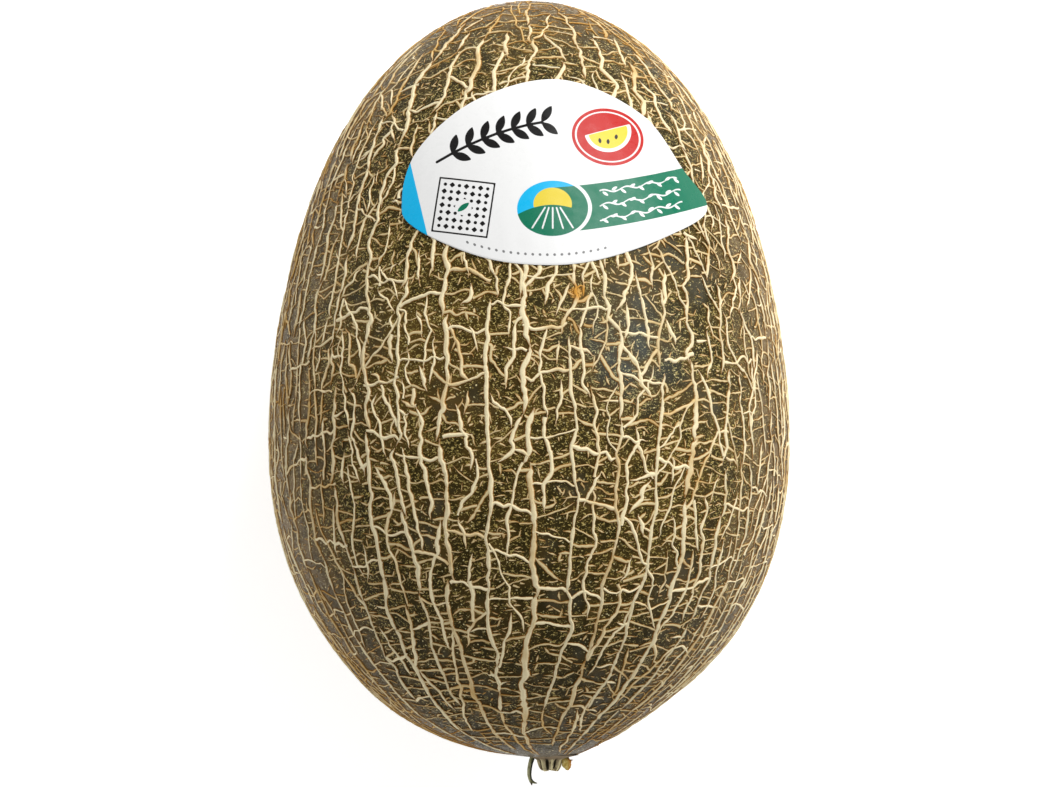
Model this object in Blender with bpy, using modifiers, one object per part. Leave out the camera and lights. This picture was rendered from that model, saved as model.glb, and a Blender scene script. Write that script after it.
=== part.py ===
"""Piel de sapo melon: an egg-shaped fruit with a raised corky net, lying on its side.

Metres, +Z up. The fruit is shaped in its own axes, long axis along Y and stem end at -Y, and then laid
down: the narrow blossom end at +Y dips a little, as the real fruit does when it lies at rest.
A place on the skin is an angle from the stem pole (polar) and an angle round the long axis (around),
which is 0 on top and grows toward +X.
"""

import math
import random

import bmesh
import bpy
import numpy as np
from mathutils import Matrix, Vector

# Fruit shape
HALF_LENGTH = 0.1212
GIRTH_RADIUS = 0.0815
GIRTH_TERMS = (1.0, 0.140, 0.116, -0.106, -0.160)
STEM_SIDESTEP = 0.0064
REST_TILT = math.radians(6.5)
FLAT_DEPTH = 0.0013
CENTRE_SHIFT = 0.00409

# Raised net
NET_SEED = 11
NET_LINES = 40
RUNG_SPACING = 0.0150
RUNG_SCATTER = 0.19
LEAST_GAP = 0.0024
LINE_WANDER = 0.13
RIDGE_HEIGHT = 0.0008
RIDGE_HALF_WIDTH = 0.0011
BARE_STEM_CAP = 0.013
BARE_BLOSSOM_CAP = 0.007
HALF_LINES_FROM = 0.044
QUARTER_LINES_FROM = 0.022
FADE_LENGTH = 0.020

# Stalk remains
STUB_RADIUS = 0.0041
STUB_CUT_RADIUS = 0.0030
STUB_LENGTH = 0.0040
STUB_RIBS = 9
STUB_GROOVE = 0.13
TENDRIL_RADIUS = 0.0007
BRACT_WIDTH = 0.0026
BRACT_LENGTH = 0.0040
BRACT_THICKNESS = 0.0006
BRACT_SIDE = 0.0057
SKIN_GAP = 0.0003

# Sticker
LABEL_THICKNESS = 0.0006
LABEL_LIFT = RIDGE_HEIGHT + SKIN_GAP
LABEL_CENTRE = (0.0073, 0.0627)
LABEL_RINGS = 5
LABEL_SPAN_POINTS = 6

SKIN_STEPS = 1200


def profile_radius(polar):
    cosine = math.cos(polar)
    swell = sum(term * cosine**power for power, term in enumerate(GIRTH_TERMS))
    return GIRTH_RADIUS * math.sin(polar) * swell


def axis_sidestep(polar):
    """How far the middle of the fruit leans toward +X: its stem end is a little crooked."""
    toward_stem = STEM_SIDESTEP * math.exp(-((polar / 0.2) ** 2))
    back_again = 0.0018 * math.exp(-(((polar - 0.5) / 0.2) ** 2))
    return toward_stem - back_again


def skin_normal(polar, around):
    step = 1e-4
    rise = profile_radius(polar + step) - profile_radius(polar - step)
    run = HALF_LENGTH * (math.cos(polar - step) - math.cos(polar + step))
    out = Vector((run * math.sin(around), -rise, run * math.cos(around)))
    return out.normalized()


def skin_point(polar, around, lift=0.0):
    radius = profile_radius(polar)
    point = Vector(
        (
            axis_sidestep(polar) + radius * math.sin(around),
            -HALF_LENGTH * math.cos(polar),
            radius * math.cos(around),
        )
    )
    return point + lift * skin_normal(polar, around)


def arc_table():
    """Lengths along the skin from the stem pole, and the polar angles they are reached at."""
    polars = np.linspace(0.0, math.pi, SKIN_STEPS)
    radii = np.array([profile_radius(polar) for polar in polars])
    along = -HALF_LENGTH * np.cos(polars)
    steps = np.hypot(np.diff(radii), np.diff(along))
    return np.concatenate([[0.0], np.cumsum(steps)]), polars


ARCS, POLARS = arc_table()
SKIN_LENGTH = float(ARCS[-1])


def polar_at(arc):
    return float(np.interp(arc, ARCS, POLARS))


def arc_at_radius(radius, from_stem):
    """The arc length where the fruit first reaches this radius, counted from the stem pole."""
    radii = np.array([profile_radius(polar) for polar in POLARS])
    widest = int(radii.argmax())
    if from_stem:
        return float(np.interp(radius, radii[:widest], ARCS[:widest]))
    return float(np.interp(-radius, -radii[widest:], ARCS[widest:]))


def resting_matrix():
    """Lays the fruit down: turned about X, its lowest skin a flat's depth below the floor.

    It is also moved along Y, so that the middle of its length, tendril included, is at the origin.
    """
    turn = Matrix.Rotation(-REST_TILT, 4, "X")
    lowest = min((turn @ skin_point(polar, math.pi)).z for polar in POLARS)
    return Matrix.Translation((0.0, CENTRE_SHIFT, -lowest - FLAT_DEPTH)) @ turn


LAY_DOWN = resting_matrix()


class Net:
    """The crests of the raised net: lines from pole to pole, and rungs between neighbouring lines."""

    def __init__(self):
        self.draw = random.Random(NET_SEED)
        self.arcs = []
        self.lines = []
        self.on_line = [[] for _ in range(NET_LINES)]
        self.strips = []

    def add_point(self, line, arc):
        self.arcs.append(arc)
        self.lines.append(line % NET_LINES)
        self.on_line[line % NET_LINES].append(len(self.arcs) - 1)
        return len(self.arcs) - 1

    def scattered(self, amount=RUNG_SCATTER):
        return self.draw.uniform(-amount, amount) * RUNG_SPACING

    def line_end(self, line, from_stem):
        """Where a line stops. Every other line stops early, and every other one of the rest a bit later."""
        if line % 4 == 0:
            cap = BARE_STEM_CAP if from_stem else BARE_BLOSSOM_CAP
            return cap if from_stem else SKIN_LENGTH - cap
        radius = HALF_LINES_FROM if line % 2 else QUARTER_LINES_FROM
        return arc_at_radius(radius, from_stem) + self.scattered(0.3)

    def add_strip(self, left, right, start_rung, end_rung, offset=None):
        """Rungs from one line to the next, brick fashion or, with no offset, evenly spread."""
        first = 0.5 * (self.arcs[start_rung[0]] + self.arcs[start_rung[-1]])
        last = 0.5 * (self.arcs[end_rung[0]] + self.arcs[end_rung[-1]])
        if offset is None:
            cells = max(1, round((last - first) / RUNG_SPACING))
            middles = [first + (last - first) * number / cells for number in range(1, cells)]
        else:
            every = [(number + offset) * RUNG_SPACING for number in range(int(last / RUNG_SPACING) + 1)]
            margin = 0.65 * RUNG_SPACING
            middles = [arc for arc in every if first + margin < arc < last - margin]
        rungs = [start_rung]
        for arc in middles:
            left_end = self.add_point(left, arc + self.scattered())
            right_end = self.add_point(right, arc + self.scattered())
            rungs.append([left_end, right_end])
        rungs.append(end_rung)
        self.strips.append((left % NET_LINES, right % NET_LINES, rungs))

    def build(self):
        for start in range(0, NET_LINES, 4):
            self.add_point(start, self.line_end(start, True))
            self.add_point(start, self.line_end(start, False))
        caps = [points[:2] for points in self.on_line]
        for start in range(0, NET_LINES, 4):
            self.fill_between(start, start + 4, caps)
        self.spread_points()

    def fill_between(self, left, right, caps):
        """Fills the wedge of four line spacings: one strip at the caps, then two, then four."""
        beyond = right % NET_LINES
        middle = (left + right) // 2
        near = [caps[left][0], caps[beyond][0]]
        far = [caps[left][1], caps[beyond][1]]
        mid_near = self.forked_rung(left, middle, right, True)
        mid_far = self.forked_rung(left, middle, right, False)
        self.add_strip(left, right, near, mid_near)
        self.add_strip(left, right, mid_far, far)
        for low, high, side in ((left, middle, 0), (middle, right, 1)):
            quarter = (low + high) // 2
            fork_near = self.forked_rung(low, quarter, high, True)
            fork_far = self.forked_rung(low, quarter, high, False)
            self.add_strip(low, high, mid_near[side : side + 2], fork_near)
            self.add_strip(low, high, fork_far, mid_far[side : side + 2])
            self.add_strip(low, quarter, fork_near[:2], fork_far[:2], 0.25)
            self.add_strip(quarter, high, fork_near[1:], fork_far[1:], 0.75)

    def forked_rung(self, left, middle, right, from_stem):
        """The rung that a line ends on, from the line before it to the line after it."""
        arc = self.line_end(middle, from_stem)
        return [
            self.add_point(left, arc + self.scattered()),
            self.add_point(middle, arc),
            self.add_point(right, arc + self.scattered()),
        ]

    def spread_points(self):
        """Pushes apart the points of a line that lie too close together, keeping their order."""
        for points in self.on_line:
            points.sort(key=self.arcs.__getitem__)
            for _ in range(60):
                for before, after in zip(points, points[1:]):
                    short = LEAST_GAP - (self.arcs[after] - self.arcs[before])
                    if short > 0:
                        self.arcs[before] -= short / 2
                        self.arcs[after] += short / 2

    def cell_outlines(self):
        """The closed outline of every cell: a rung, down one line, back along the next rung, and up."""
        for left, right, rungs in self.strips:
            for rung, next_rung in zip(rungs, rungs[1:]):
                down = self.between(right, rung[-1], next_rung[-1])
                up = self.between(left, rung[0], next_rung[0])
                yield rung + down + next_rung[::-1] + up[::-1]

    def between(self, line, first, last):
        points = self.on_line[line]
        return points[points.index(first) + 1 : points.index(last)]

    def places(self):
        """The polar and around angles of every point, each line wandering a little to its sides."""
        turn = 2 * math.pi / NET_LINES
        phases = [(self.draw.uniform(0, math.tau), self.draw.uniform(0, math.tau)) for _ in range(NET_LINES)]
        for arc, line in zip(self.arcs, self.lines):
            slow, quick = phases[line]
            wave = 0.6 * math.sin(arc / 0.024 + slow) + 0.4 * math.sin(arc / 0.009 + quick)
            wander = LINE_WANDER * (wave + self.draw.uniform(-0.7, 0.7))
            yield polar_at(arc), turn * (line + wander)


def ridge_height(arc):
    """The ridges fade out before both poles, where the skin is smooth."""
    from_cap = min(arc - BARE_STEM_CAP, SKIN_LENGTH - BARE_BLOSSOM_CAP - arc)
    return RIDGE_HEIGHT * min(1.0, max(0.0, from_cap / FADE_LENGTH))


def material(name, colour, roughness):
    made = bpy.data.materials.new(name)
    made.use_nodes = True
    shader = made.node_tree.nodes["Principled BSDF"]
    shader.inputs["Base Color"].default_value = (*colour, 1.0)
    shader.inputs["Roughness"].default_value = roughness
    shader.inputs["Metallic"].default_value = 0.0
    return made


def add_object(name, shape, collection, made_of=None):
    """An object of this bmesh, laid down with the fruit."""
    mesh = bpy.data.meshes.new(name)
    bmesh.ops.transform(shape, matrix=LAY_DOWN, verts=shape.verts)
    bmesh.ops.recalc_face_normals(shape, faces=shape.faces)
    shape.to_mesh(mesh)
    shape.free()
    made = bpy.data.objects.new(name, mesh)
    collection.objects.link(made)
    if made_of:
        mesh.materials.append(made_of)
    return made


def fruit(parts, cutters):
    """The rind: each cell of the net is inset, and the crests left round it are raised."""
    net = Net()
    net.build()
    places = list(net.places())
    shape = bmesh.new()
    crests = [shape.verts.new(skin_point(polar, around)) for polar, around in places]
    cells = [shape.faces.new([crests[i] for i in outline]) for outline in net.cell_outlines()]
    for polar, which in ((0.0, 0), (math.pi, -1)):
        pole = shape.verts.new(skin_point(polar, 0.0))
        ring = [crests[net.on_line[line][which]] for line in range(0, NET_LINES, 4)]
        for vertex, next_vertex in zip(ring, ring[1:] + ring[:1]):
            shape.faces.new((pole, vertex, next_vertex))
    bmesh.ops.recalc_face_normals(shape, faces=shape.faces)
    bmesh.ops.inset_individual(shape, faces=cells, thickness=RIDGE_HALF_WIDTH, use_even_offset=True)
    for crest, (polar, around), arc in zip(crests, places, net.arcs):
        crest.co += ridge_height(arc) * skin_normal(polar, around)
    rind = add_object("fruit", shape, parts, material("rind", (0.045, 0.055, 0.022), 0.5))

    flat = bmesh.new()
    bmesh.ops.create_cube(flat, size=0.1)
    bmesh.ops.translate(flat, verts=flat.verts, vec=(0.0, 0.0, -0.05))
    cutter_mesh = bpy.data.meshes.new("flat_spot_cutter")
    flat.to_mesh(cutter_mesh)
    flat.free()
    cutter = bpy.data.objects.new("flat_spot_cutter", cutter_mesh)
    cutter.hide_render = True
    cutter.display_type = "WIRE"
    cutters.objects.link(cutter)
    cut = rind.modifiers.new("flat_spot", "BOOLEAN")
    cut.operation = "DIFFERENCE"
    cut.object = cutter


def stem_stub(parts):
    """A ribbed stub, flared where it left the fruit and cut off square."""
    shape = bmesh.new()
    bmesh.ops.create_cone(
        shape,
        cap_ends=True,
        segments=STUB_RIBS * 5,
        radius1=STUB_RADIUS,
        radius2=STUB_CUT_RADIUS,
        depth=STUB_LENGTH,
    )
    sides = [edge for edge in shape.edges if abs(edge.verts[0].co.z - edge.verts[1].co.z) > STUB_LENGTH / 2]
    bmesh.ops.subdivide_edges(shape, edges=sides, cuts=3)
    for vertex in shape.verts:
        along = 0.5 + vertex.co.z / STUB_LENGTH
        angle = math.atan2(vertex.co.y, vertex.co.x)
        waist = 1.0 - 0.16 * math.sin(math.pi * along)
        ribs = 1.0 + STUB_GROOVE * (0.3 + 0.7 * along) * math.cos(STUB_RIBS * angle)
        vertex.co.x *= waist * ribs
        vertex.co.y *= waist * ribs
        vertex.co.z += STUB_LENGTH / 2
    outward = Matrix.Translation(skin_point(0.0, 0.0, SKIN_GAP)) @ Matrix.Rotation(math.pi / 2, 4, "X")
    bmesh.ops.transform(shape, matrix=outward, verts=shape.verts)
    add_object("stem_stub", shape, parts, material("cut_stalk", (0.42, 0.34, 0.18), 0.75))


def tendril(parts):
    """A thin tendril beside the stub that runs away from the fruit and hooks at its tip."""
    pole = skin_point(0.0, 0.0)
    route = (
        (-0.0055, 0.0000, 0.0006),
        (-0.0059, -0.0016, 0.0009),
        (-0.0062, -0.0034, 0.0010),
        (-0.0063, -0.0052, 0.0008),
        (-0.0059, -0.0068, 0.0005),
        (-0.0051, -0.0079, 0.0004),
        (-0.0041, -0.0082, 0.0006),
    )
    curve = bpy.data.curves.new("tendril", "CURVE")
    curve.dimensions = "3D"
    curve.bevel_depth = TENDRIL_RADIUS
    curve.bevel_resolution = 2
    curve.use_fill_caps = True
    spline = curve.splines.new("POLY")
    spline.points.add(len(route) - 1)
    for number, (point, place) in enumerate(zip(spline.points, route)):
        point.co = (*(LAY_DOWN @ (pole + Vector(place))), 1.0)
        point.radius = 1.0 - 0.45 * number / (len(route) - 1)
    made = bpy.data.objects.new("tendril", curve)
    curve.materials.append(material("green_stalk", (0.10, 0.13, 0.05), 0.6))
    parts.objects.link(made)


def dried_bract(parts):
    """A withered bract on the other side of the stub: a small cupped leaf with a pointed tip."""
    shape = bmesh.new()
    bmesh.ops.create_grid(shape, x_segments=6, y_segments=7, size=0.5)
    for vertex in shape.verts:
        across, along = 2 * vertex.co.x, 0.5 + vertex.co.y
        half = BRACT_WIDTH / 2 * (0.55 + 0.45 * math.sin(math.pi * min(1.0, along * 1.2)) - 0.35 * along**4)
        cup = 0.35 * BRACT_WIDTH * (across**2 - 0.4) + 0.0003 * math.sin(7 * along + across)
        away = SKIN_GAP * 3 + BRACT_LENGTH * along
        vertex.co = Vector((BRACT_SIDE + half * across + 0.0004 * along, -away, cup - 0.0002))
    bmesh.ops.translate(shape, verts=shape.verts, vec=skin_point(0.0, 0.0))
    made = add_object("dried_bract", shape, parts, material("dry_bract", (0.62, 0.42, 0.10), 0.7))
    thick = made.modifiers.new("thickness", "SOLIDIFY")
    thick.thickness = BRACT_THICKNESS
    thick.offset = 0.0


def seen_from_above(x, y):
    """The polar and around angles of the skin that lies at this x and y once the fruit is laid down."""
    height = GIRTH_RADIUS
    for _ in range(20):
        along = (y - CENTRE_SHIFT - height * math.sin(REST_TILT)) / math.cos(REST_TILT)
        polar = math.acos(max(-1.0, min(1.0, -along / HALF_LENGTH)))
        side = x - axis_sidestep(polar)
        height = math.sqrt(max(0.0, profile_radius(polar) ** 2 - side**2))
    return polar, math.atan2(side, height)


def smooth_outline(corners, points_each):
    """A closed curve through the corners, each stretch a Catmull-Rom span."""
    count = len(corners)
    outline = []
    for i in range(count):
        before, start, end, after = (Vector(corners[(i + k) % count]) for k in (-1, 0, 1, 2))
        for step in range(points_each):
            t = step / points_each
            outline.append(
                0.5
                * (
                    2 * start
                    + (end - before) * t
                    + (2 * before - 5 * start + 4 * end - after) * t**2
                    + (3 * start - before - 3 * end + after) * t**3
                )
            )
    return outline


def label(parts):
    """The sticker: an almond outline pressed onto the crests of the net."""
    corners = (
        (-0.0450, -0.0075),
        (-0.0402, 0.0086),
        (-0.0229, 0.0235),
        (0.0020, 0.0299),
        (0.0262, 0.0199),
        (0.0385, 0.0035),
        (0.0461, -0.0090),
        (0.0331, -0.0182),
        (0.0130, -0.0256),
        (-0.0047, -0.0273),
        (-0.0224, -0.0245),
        (-0.0409, -0.0158),
    )
    outline = smooth_outline(corners, LABEL_SPAN_POINTS)
    shape = bmesh.new()

    def pressed(across, up):
        polar, around = seen_from_above(LABEL_CENTRE[0] + across, LABEL_CENTRE[1] + up)
        return shape.verts.new(skin_point(polar, around, LABEL_LIFT))

    middle = pressed(0.0, 0.0)
    rings = []
    for ring in range(1, LABEL_RINGS + 1):
        rings.append([pressed(*(point * ring / LABEL_RINGS)) for point in outline])
    for i in range(len(outline)):
        j = (i + 1) % len(outline)
        shape.faces.new((middle, rings[0][i], rings[0][j]))
        for inner, outer in zip(rings, rings[1:]):
            shape.faces.new((inner[i], outer[i], outer[j], inner[j]))
    made = add_object("label", shape, parts, material("sticker", (0.85, 0.86, 0.85), 0.25))
    thick = made.modifiers.new("thickness", "SOLIDIFY")
    thick.thickness = LABEL_THICKNESS
    thick.offset = 1.0


def main():
    for old in list(bpy.data.objects):
        bpy.data.objects.remove(old, do_unlink=True)
    parts = bpy.data.collections.new("melon")
    cutters = bpy.data.collections.new("cutters")
    bpy.context.scene.collection.children.link(parts)
    bpy.context.scene.collection.children.link(cutters)
    fruit(parts, cutters)
    stem_stub(parts)
    tendril(parts)
    dried_bract(parts)
    label(parts)
    for made in parts.objects:
        if made.type == "MESH":
            made.data.shade_smooth()
            made.data.set_sharp_from_angle(angle=math.radians(35))


main()
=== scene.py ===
import math
import random

import bpy
import numpy as np
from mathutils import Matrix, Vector


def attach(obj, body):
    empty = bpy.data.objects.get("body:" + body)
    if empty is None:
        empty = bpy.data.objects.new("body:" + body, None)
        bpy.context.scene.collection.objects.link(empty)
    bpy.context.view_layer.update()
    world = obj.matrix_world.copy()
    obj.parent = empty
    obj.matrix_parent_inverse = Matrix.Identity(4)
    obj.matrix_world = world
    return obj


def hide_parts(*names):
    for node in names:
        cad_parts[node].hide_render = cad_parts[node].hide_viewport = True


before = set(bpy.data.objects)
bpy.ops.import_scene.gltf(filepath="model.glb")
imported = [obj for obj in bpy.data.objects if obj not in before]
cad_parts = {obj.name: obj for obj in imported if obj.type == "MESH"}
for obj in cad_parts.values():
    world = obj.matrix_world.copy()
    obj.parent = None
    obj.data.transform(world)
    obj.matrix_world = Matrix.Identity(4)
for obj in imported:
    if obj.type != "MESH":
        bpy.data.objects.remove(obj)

# The fruit's shape, as in the solid model, in metres
HALF_LENGTH = 0.1212
GIRTH_RADIUS = 0.0815
GIRTH_TERMS = (1.0, 0.140, 0.116, -0.106, -0.160)
STEM_SIDESTEP = 0.0064
SHOULDER_SIDESTEP = 0.0018
SHOULDER_POLAR = 0.5
SIDESTEP_REACH = 0.2
REST_TILT = math.radians(6.5)
FLAT_DEPTH = 0.0013
CENTRE_SHIFT = 0.00409
SKIN_STEPS = 2400
RADII_PER_METRE = 10000

# The net of the solid model, whose crests the strongest lines here follow
NET_SEED = 11
NET_LINES = 40
RUNG_SPACING = 0.0150
RUNG_SCATTER = 0.19
LEAST_GAP = 0.0024
LINE_WANDER = 0.13
BARE_STEM_CAP = 0.013
BARE_BLOSSOM_CAP = 0.007
HALF_LINES_FROM = 0.044
QUARTER_LINES_FROM = 0.022

# The finer net that grows between them
GROWTH_SEED = 5
STEP = 0.0007
KINK_SPACING = 0.0023
BRANCH_KINK = 0.30
TURN_SHARE = 0.62
TURN_JITTER = 0.12
LINE_GAP = 0.0031
LINE_TRIES = 6000
TWIG_TRIES = 20000
FORK_SHARE = 0.45
SHORT_RUNG_SHARE = 0.52
LOST_RUNG_SHARE = 0.25
ORDERLY_FROM_STEM = 0.15
CROSSWISE_FROM_STEM = 0.12
TOUCH = 0.0004

# How near the stem pole and the blossom pole the cracks come: all of them, and those of each kind
SMOOTH_STEM_CAP, SMOOTH_BLOSSOM_CAP = 0.0095, 0.0045
LADDER_STEM_CAP, LADDER_BLOSSOM_CAP = 0.024, 0.012
BETWEEN_STEM_CAP, BETWEEN_BLOSSOM_CAP = 0.020, 0.010
CROSS_STEM_CAP, CROSS_BLOSSOM_CAP = 0.0235, 0.008
TWIG_STEM_CAP, TWIG_BLOSSOM_CAP = 0.026, 0.006

# How far the cracks run: least and most, or most
STRONG_PIECES = (0.014, 0.048)
STRONG_OVERLAPS = (-0.0010, 0.0045)
BETWEEN_REACHES = (0.003, 0.022)
SHORT_RUNG_REACHES = (0.0012, 0.0048)
RUNG_REACH = 0.012
FORK_REACHES = (0.0012, 0.0032)
TWIG_REACHES = (0.0010, 0.0036)

# How wide the cracks are, least and most, and how high, and the steps along their ribs
STRONG_WIDTHS, STRONG_HEIGHT = (0.00088, 0.00138), 0.00055
BETWEEN_WIDTHS, BETWEEN_HEIGHT = (0.00044, 0.00092), 0.00045
LADDER_WIDTHS, LADDER_HEIGHT = (0.00048, 0.00084), 0.00042
CROSS_WIDTHS, CROSS_HEIGHT = (0.00034, 0.00070), 0.00034
TWIG_WIDTHS, TWIG_HEIGHT = (0.00029, 0.00050), 0.00022
FORK_HEIGHT = 0.00030
LINE_RIB_STEP, CROSS_RIB_STEP, TWIG_RIB_STEP = 0.0007, 0.00055, 0.0006

# How the lines and ribs wander and swell: spacing and size of the kinks
COARSE_WANDER, FINE_WANDER = (0.0056, 0.00078), (0.0022, 0.00036)
RUNG_WANDER = (0.0022, 0.00055)
COARSE_SWELL, FINE_SWELL = (0.0045, 0.12), (0.0012, 0.16)
RIB_SWAY = (0.0011, 0.09)

# How long the thinning end of a rib is at most
RUN_OUT = 0.003

# Smooth random fields over the skin by seed, number of waves and length of the finest: how strong the net
# is, how restless, and where the skin is hollow
STRENGTH_WAVES = (3, 14, 0.030)
UNREST_WAVES = (17, 12, 0.045)
HOLLOW_WAVES = (9, 18, 0.012)

# Where the looks of the sides and ends come in: between two sines of the angle from the top, two lengths
# from the stem pole or the blossom pole, or two heights over the floor
FLANK_SINES = (0.50, 0.88)
BROWN_LEFT_SINES = (0.55, 0.95)
# the sides' painted sheen: lighter brown where grazing light falls on the waxy skin
SIDE_SHEEN_SINES = (0.66, 0.98)
BROWN_STEM_RING = (0.015, 0.085)
BARE_STEM_RING = (0.011, 0.027)
BLOSSOM_RING = (0.085, 0.020)
WEATHERED_RING = (0.060, 0.012)
FLATTENED_RING = (0.042, 0.006)
GROUND_SPOT_HEIGHTS = (0.022, 0.004)
BLOSSOM_SCAR = 0.010

# Patches of the skin by x, y and reach: a crackled one, a grey one that is painted sheen, an orange scar and
# its stain on the net
CRACKLED_SPOT = (-0.0298, 0.0083, 0.022)
PAINTED_SHEEN_SPOT = (0.0272, 0.0113, 0.016)
SCAR_SPOT = (0.0134, 0.0275, 0.0019)
STAINED_SPOT = (0.0144, 0.0278, 0.0040)

# The map that records which skin a crack has taken
MARK_CELL = 0.00035
MARK_COLUMNS = 1500
CROWDING_CELLS = 4

# The rind's own mesh, a little below the crests' feet
RIND_ROWS = 288
RIND_COLUMNS = 340
RIND_FLAT_LIFT = 0.00015
RIND_HOLLOWS = 0.00012
RIND_SINK = 0.00010
POLE_HOLE = 0.0002

# The sticker
LABEL_CENTRE = (0.0073, 0.0627)
LABEL_CORNERS = (
    (-0.0450, -0.0075),
    (-0.0402, 0.0086),
    (-0.0229, 0.0235),
    (0.0020, 0.0299),
    (0.0262, 0.0199),
    (0.0385, 0.0035),
    (0.0461, -0.0090),
    (0.0331, -0.0182),
    (0.0130, -0.0256),
    (-0.0047, -0.0273),
    (-0.0224, -0.0245),
    (-0.0409, -0.0158),
)
LABEL_COLUMNS = 290
LABEL_ROWS = 176
LABEL_LIFT = 0.00048
LABEL_SWELL = 0.0004
LABEL_EDGE_DROP = 0.00014
LABEL_MARGIN = 0.0003
LABEL_PRESS = 0.5
LABEL_CURVE_POINTS = 40
LABEL_MAP_START, LABEL_MAP_SIZE = 0.047, 0.095

# The sticker's print: places and turns of its motifs, and its colours in the order that they go on
BADGE, BADGE_TURN = (-0.0005, -0.0105), 0.06
DISC, DISC_TURN, SLICE_TURN = (0.0160, 0.0118), -0.12, 0.3
PANEL, PANEL_TURN, PANEL_CELL = (-0.0265, -0.0100), -0.14, 0.0021
BEAD_SPACING = 0.0021
PRINT_EDGE = 0.00006
PRINT_REACH = 0.002
PAPER = (224, 224, 223)
INKS = {
    "blue": (20, 170, 220),
    "green": (4, 108, 80),
    "red": (178, 30, 24),
    "white": PAPER,
    "yellow": (214, 192, 60),
    "dark": (24, 23, 23),
    "grey": (118, 118, 118),
}

# The stub, out from the stem pole: its outline as radius by part of its length, and its cut face's rings
STUB_SEED = 21
STUB_LENGTH = 0.0037
STUB_RIBS = 9
STUB_SIDES = 180
STUB_RINGS = 26
STUB_OUTLINE = (
    (-0.26, 0.0094),
    (-0.14, 0.0073),
    (-0.05, 0.0058),
    (0.05, 0.0047),
    (0.18, 0.0040),
    (0.40, 0.0037),
    (0.70, 0.0034),
    (0.88, 0.0030),
    (1.0, 0.0025),
)
STUB_FACE_RINGS = (0.86, 0.66, 0.45, 0.25, 0.08)

# The tendril and its side hook: places from the stem pole of the upright fruit, each with the radius there
TENDRIL_SIDES = 20
TENDRIL_MAIN = (
    (-0.0051, 0.0008, 0.0002, 0.00080),
    (-0.0054, -0.0002, 0.0006, 0.00078),
    (-0.0059, -0.0017, 0.0009, 0.00074),
    (-0.0062, -0.0034, 0.0010, 0.00072),
    (-0.0063, -0.0052, 0.0008, 0.00066),
    (-0.0060, -0.0066, 0.0006, 0.00058),
    (-0.0057, -0.0075, 0.0005, 0.00046),
    (-0.0055, -0.0085, 0.0004, 0.00012),
)
TENDRIL_HOOK = (
    (-0.0061, -0.0061, 0.0006, 0.00045),
    (-0.0055, -0.0072, 0.0006, 0.00044),
    (-0.0047, -0.0077, 0.0006, 0.00034),
    (-0.0038, -0.0078, 0.0007, 0.00010),
)

# The bract, from the stem pole too
BRACT_X = 0.0050
BRACT_LENGTH = 0.0044
BRACT_HALF = 0.00135
BRACT_ROWS = 30
BRACT_TIP_ROWS = 10
BRACT_COLUMNS = 40

# The photograph, which the camera is set from
PHOTO_WIDTH = 1054
METRES_PER_PIXEL = 0.00032
CAMERA_X = -0.00066
CAMERA_Y = CENTRE_SHIFT - 0.00597
CAMERA_DISTANCE = 0.795
SENSOR_WIDTH = 36.0

# The light and the floor
KEY_PLACE = (0.91, 1.29, 0.97)
KEY_AIM = (0.0, 0.0, 0.08)
KEY_SIZE = 1.2
KEY_POWER = 34.5
SURROUND_STRENGTH = 0.54
FLOOR_SIZE = 6.0
FLOOR_DROP = 0.0002
FLOOR_WHITE = (0.93, 0.93, 0.93, 1.0)
FLOOR_GLOW = 0.62

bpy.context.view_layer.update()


# Skin
def arc_tables():
    """The fruit's outline by its length along the skin from the stem pole."""
    polar = np.linspace(0.0, math.pi, SKIN_STEPS)
    cosine = np.cos(polar)
    swell = sum(term * cosine**power for power, term in enumerate(GIRTH_TERMS))
    radius = GIRTH_RADIUS * np.sin(polar) * swell
    along = -HALF_LENGTH * cosine
    side = STEM_SIDESTEP * np.exp(-((polar / SIDESTEP_REACH) ** 2))
    side -= SHOULDER_SIDESTEP * np.exp(-(((polar - SHOULDER_POLAR) / SIDESTEP_REACH) ** 2))
    arc = np.concatenate([[0.0], np.cumsum(np.hypot(np.diff(radius), np.diff(along)))])
    slope_out = np.gradient(radius, arc)
    slope_along = np.gradient(along, arc)
    return arc, radius, along, side, slope_along, -slope_out


ARC, RADIUS, ALONG, SIDE, OUTWARD, ENDWARD = arc_tables()
SKIN_LENGTH = float(ARC[-1])
LOWEST = float((-ALONG * math.sin(REST_TILT) - RADIUS * math.cos(REST_TILT)).min())
CENTRE_HEIGHT = -LOWEST - FLAT_DEPTH
RADII = np.interp(np.arange(0.0, SKIN_LENGTH + 0.001, 1 / RADII_PER_METRE), ARC, RADIUS)
RADIUS_LIST = np.maximum(RADII, 1e-4).tolist()
STEM_POLE = (float(SIDE[0]), float(ALONG[0]), 0.0)


def radius_at(arc):
    """The fruit's radius at one length from the stem pole, looked up fast."""
    return RADIUS_LIST[max(0, min(len(RADIUS_LIST) - 1, int(arc * RADII_PER_METRE)))]


def laid_down(points):
    """Turns points of the upright fruit as it lies at rest, its flat spot on the floor."""
    cosine, sine = math.cos(REST_TILT), math.sin(REST_TILT)
    x, y, z = points.T
    return np.stack([x, y * cosine + z * sine + CENTRE_SHIFT, z * cosine - y * sine + CENTRE_HEIGHT], 1)


def skin(arc, around, lift=0.0):
    """Points of the skin at these lengths from the stem pole and angles from the top, lifted off it."""
    arc = np.asarray(arc, float)
    around = np.asarray(around, float)
    radius = np.interp(arc, ARC, RADIUS) + lift * np.interp(arc, ARC, OUTWARD)
    along = np.interp(arc, ARC, ALONG) + lift * np.interp(arc, ARC, ENDWARD)
    side = np.interp(arc, ARC, SIDE)
    return laid_down(np.stack([side + radius * np.sin(around), along, radius * np.cos(around)], 1))


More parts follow.
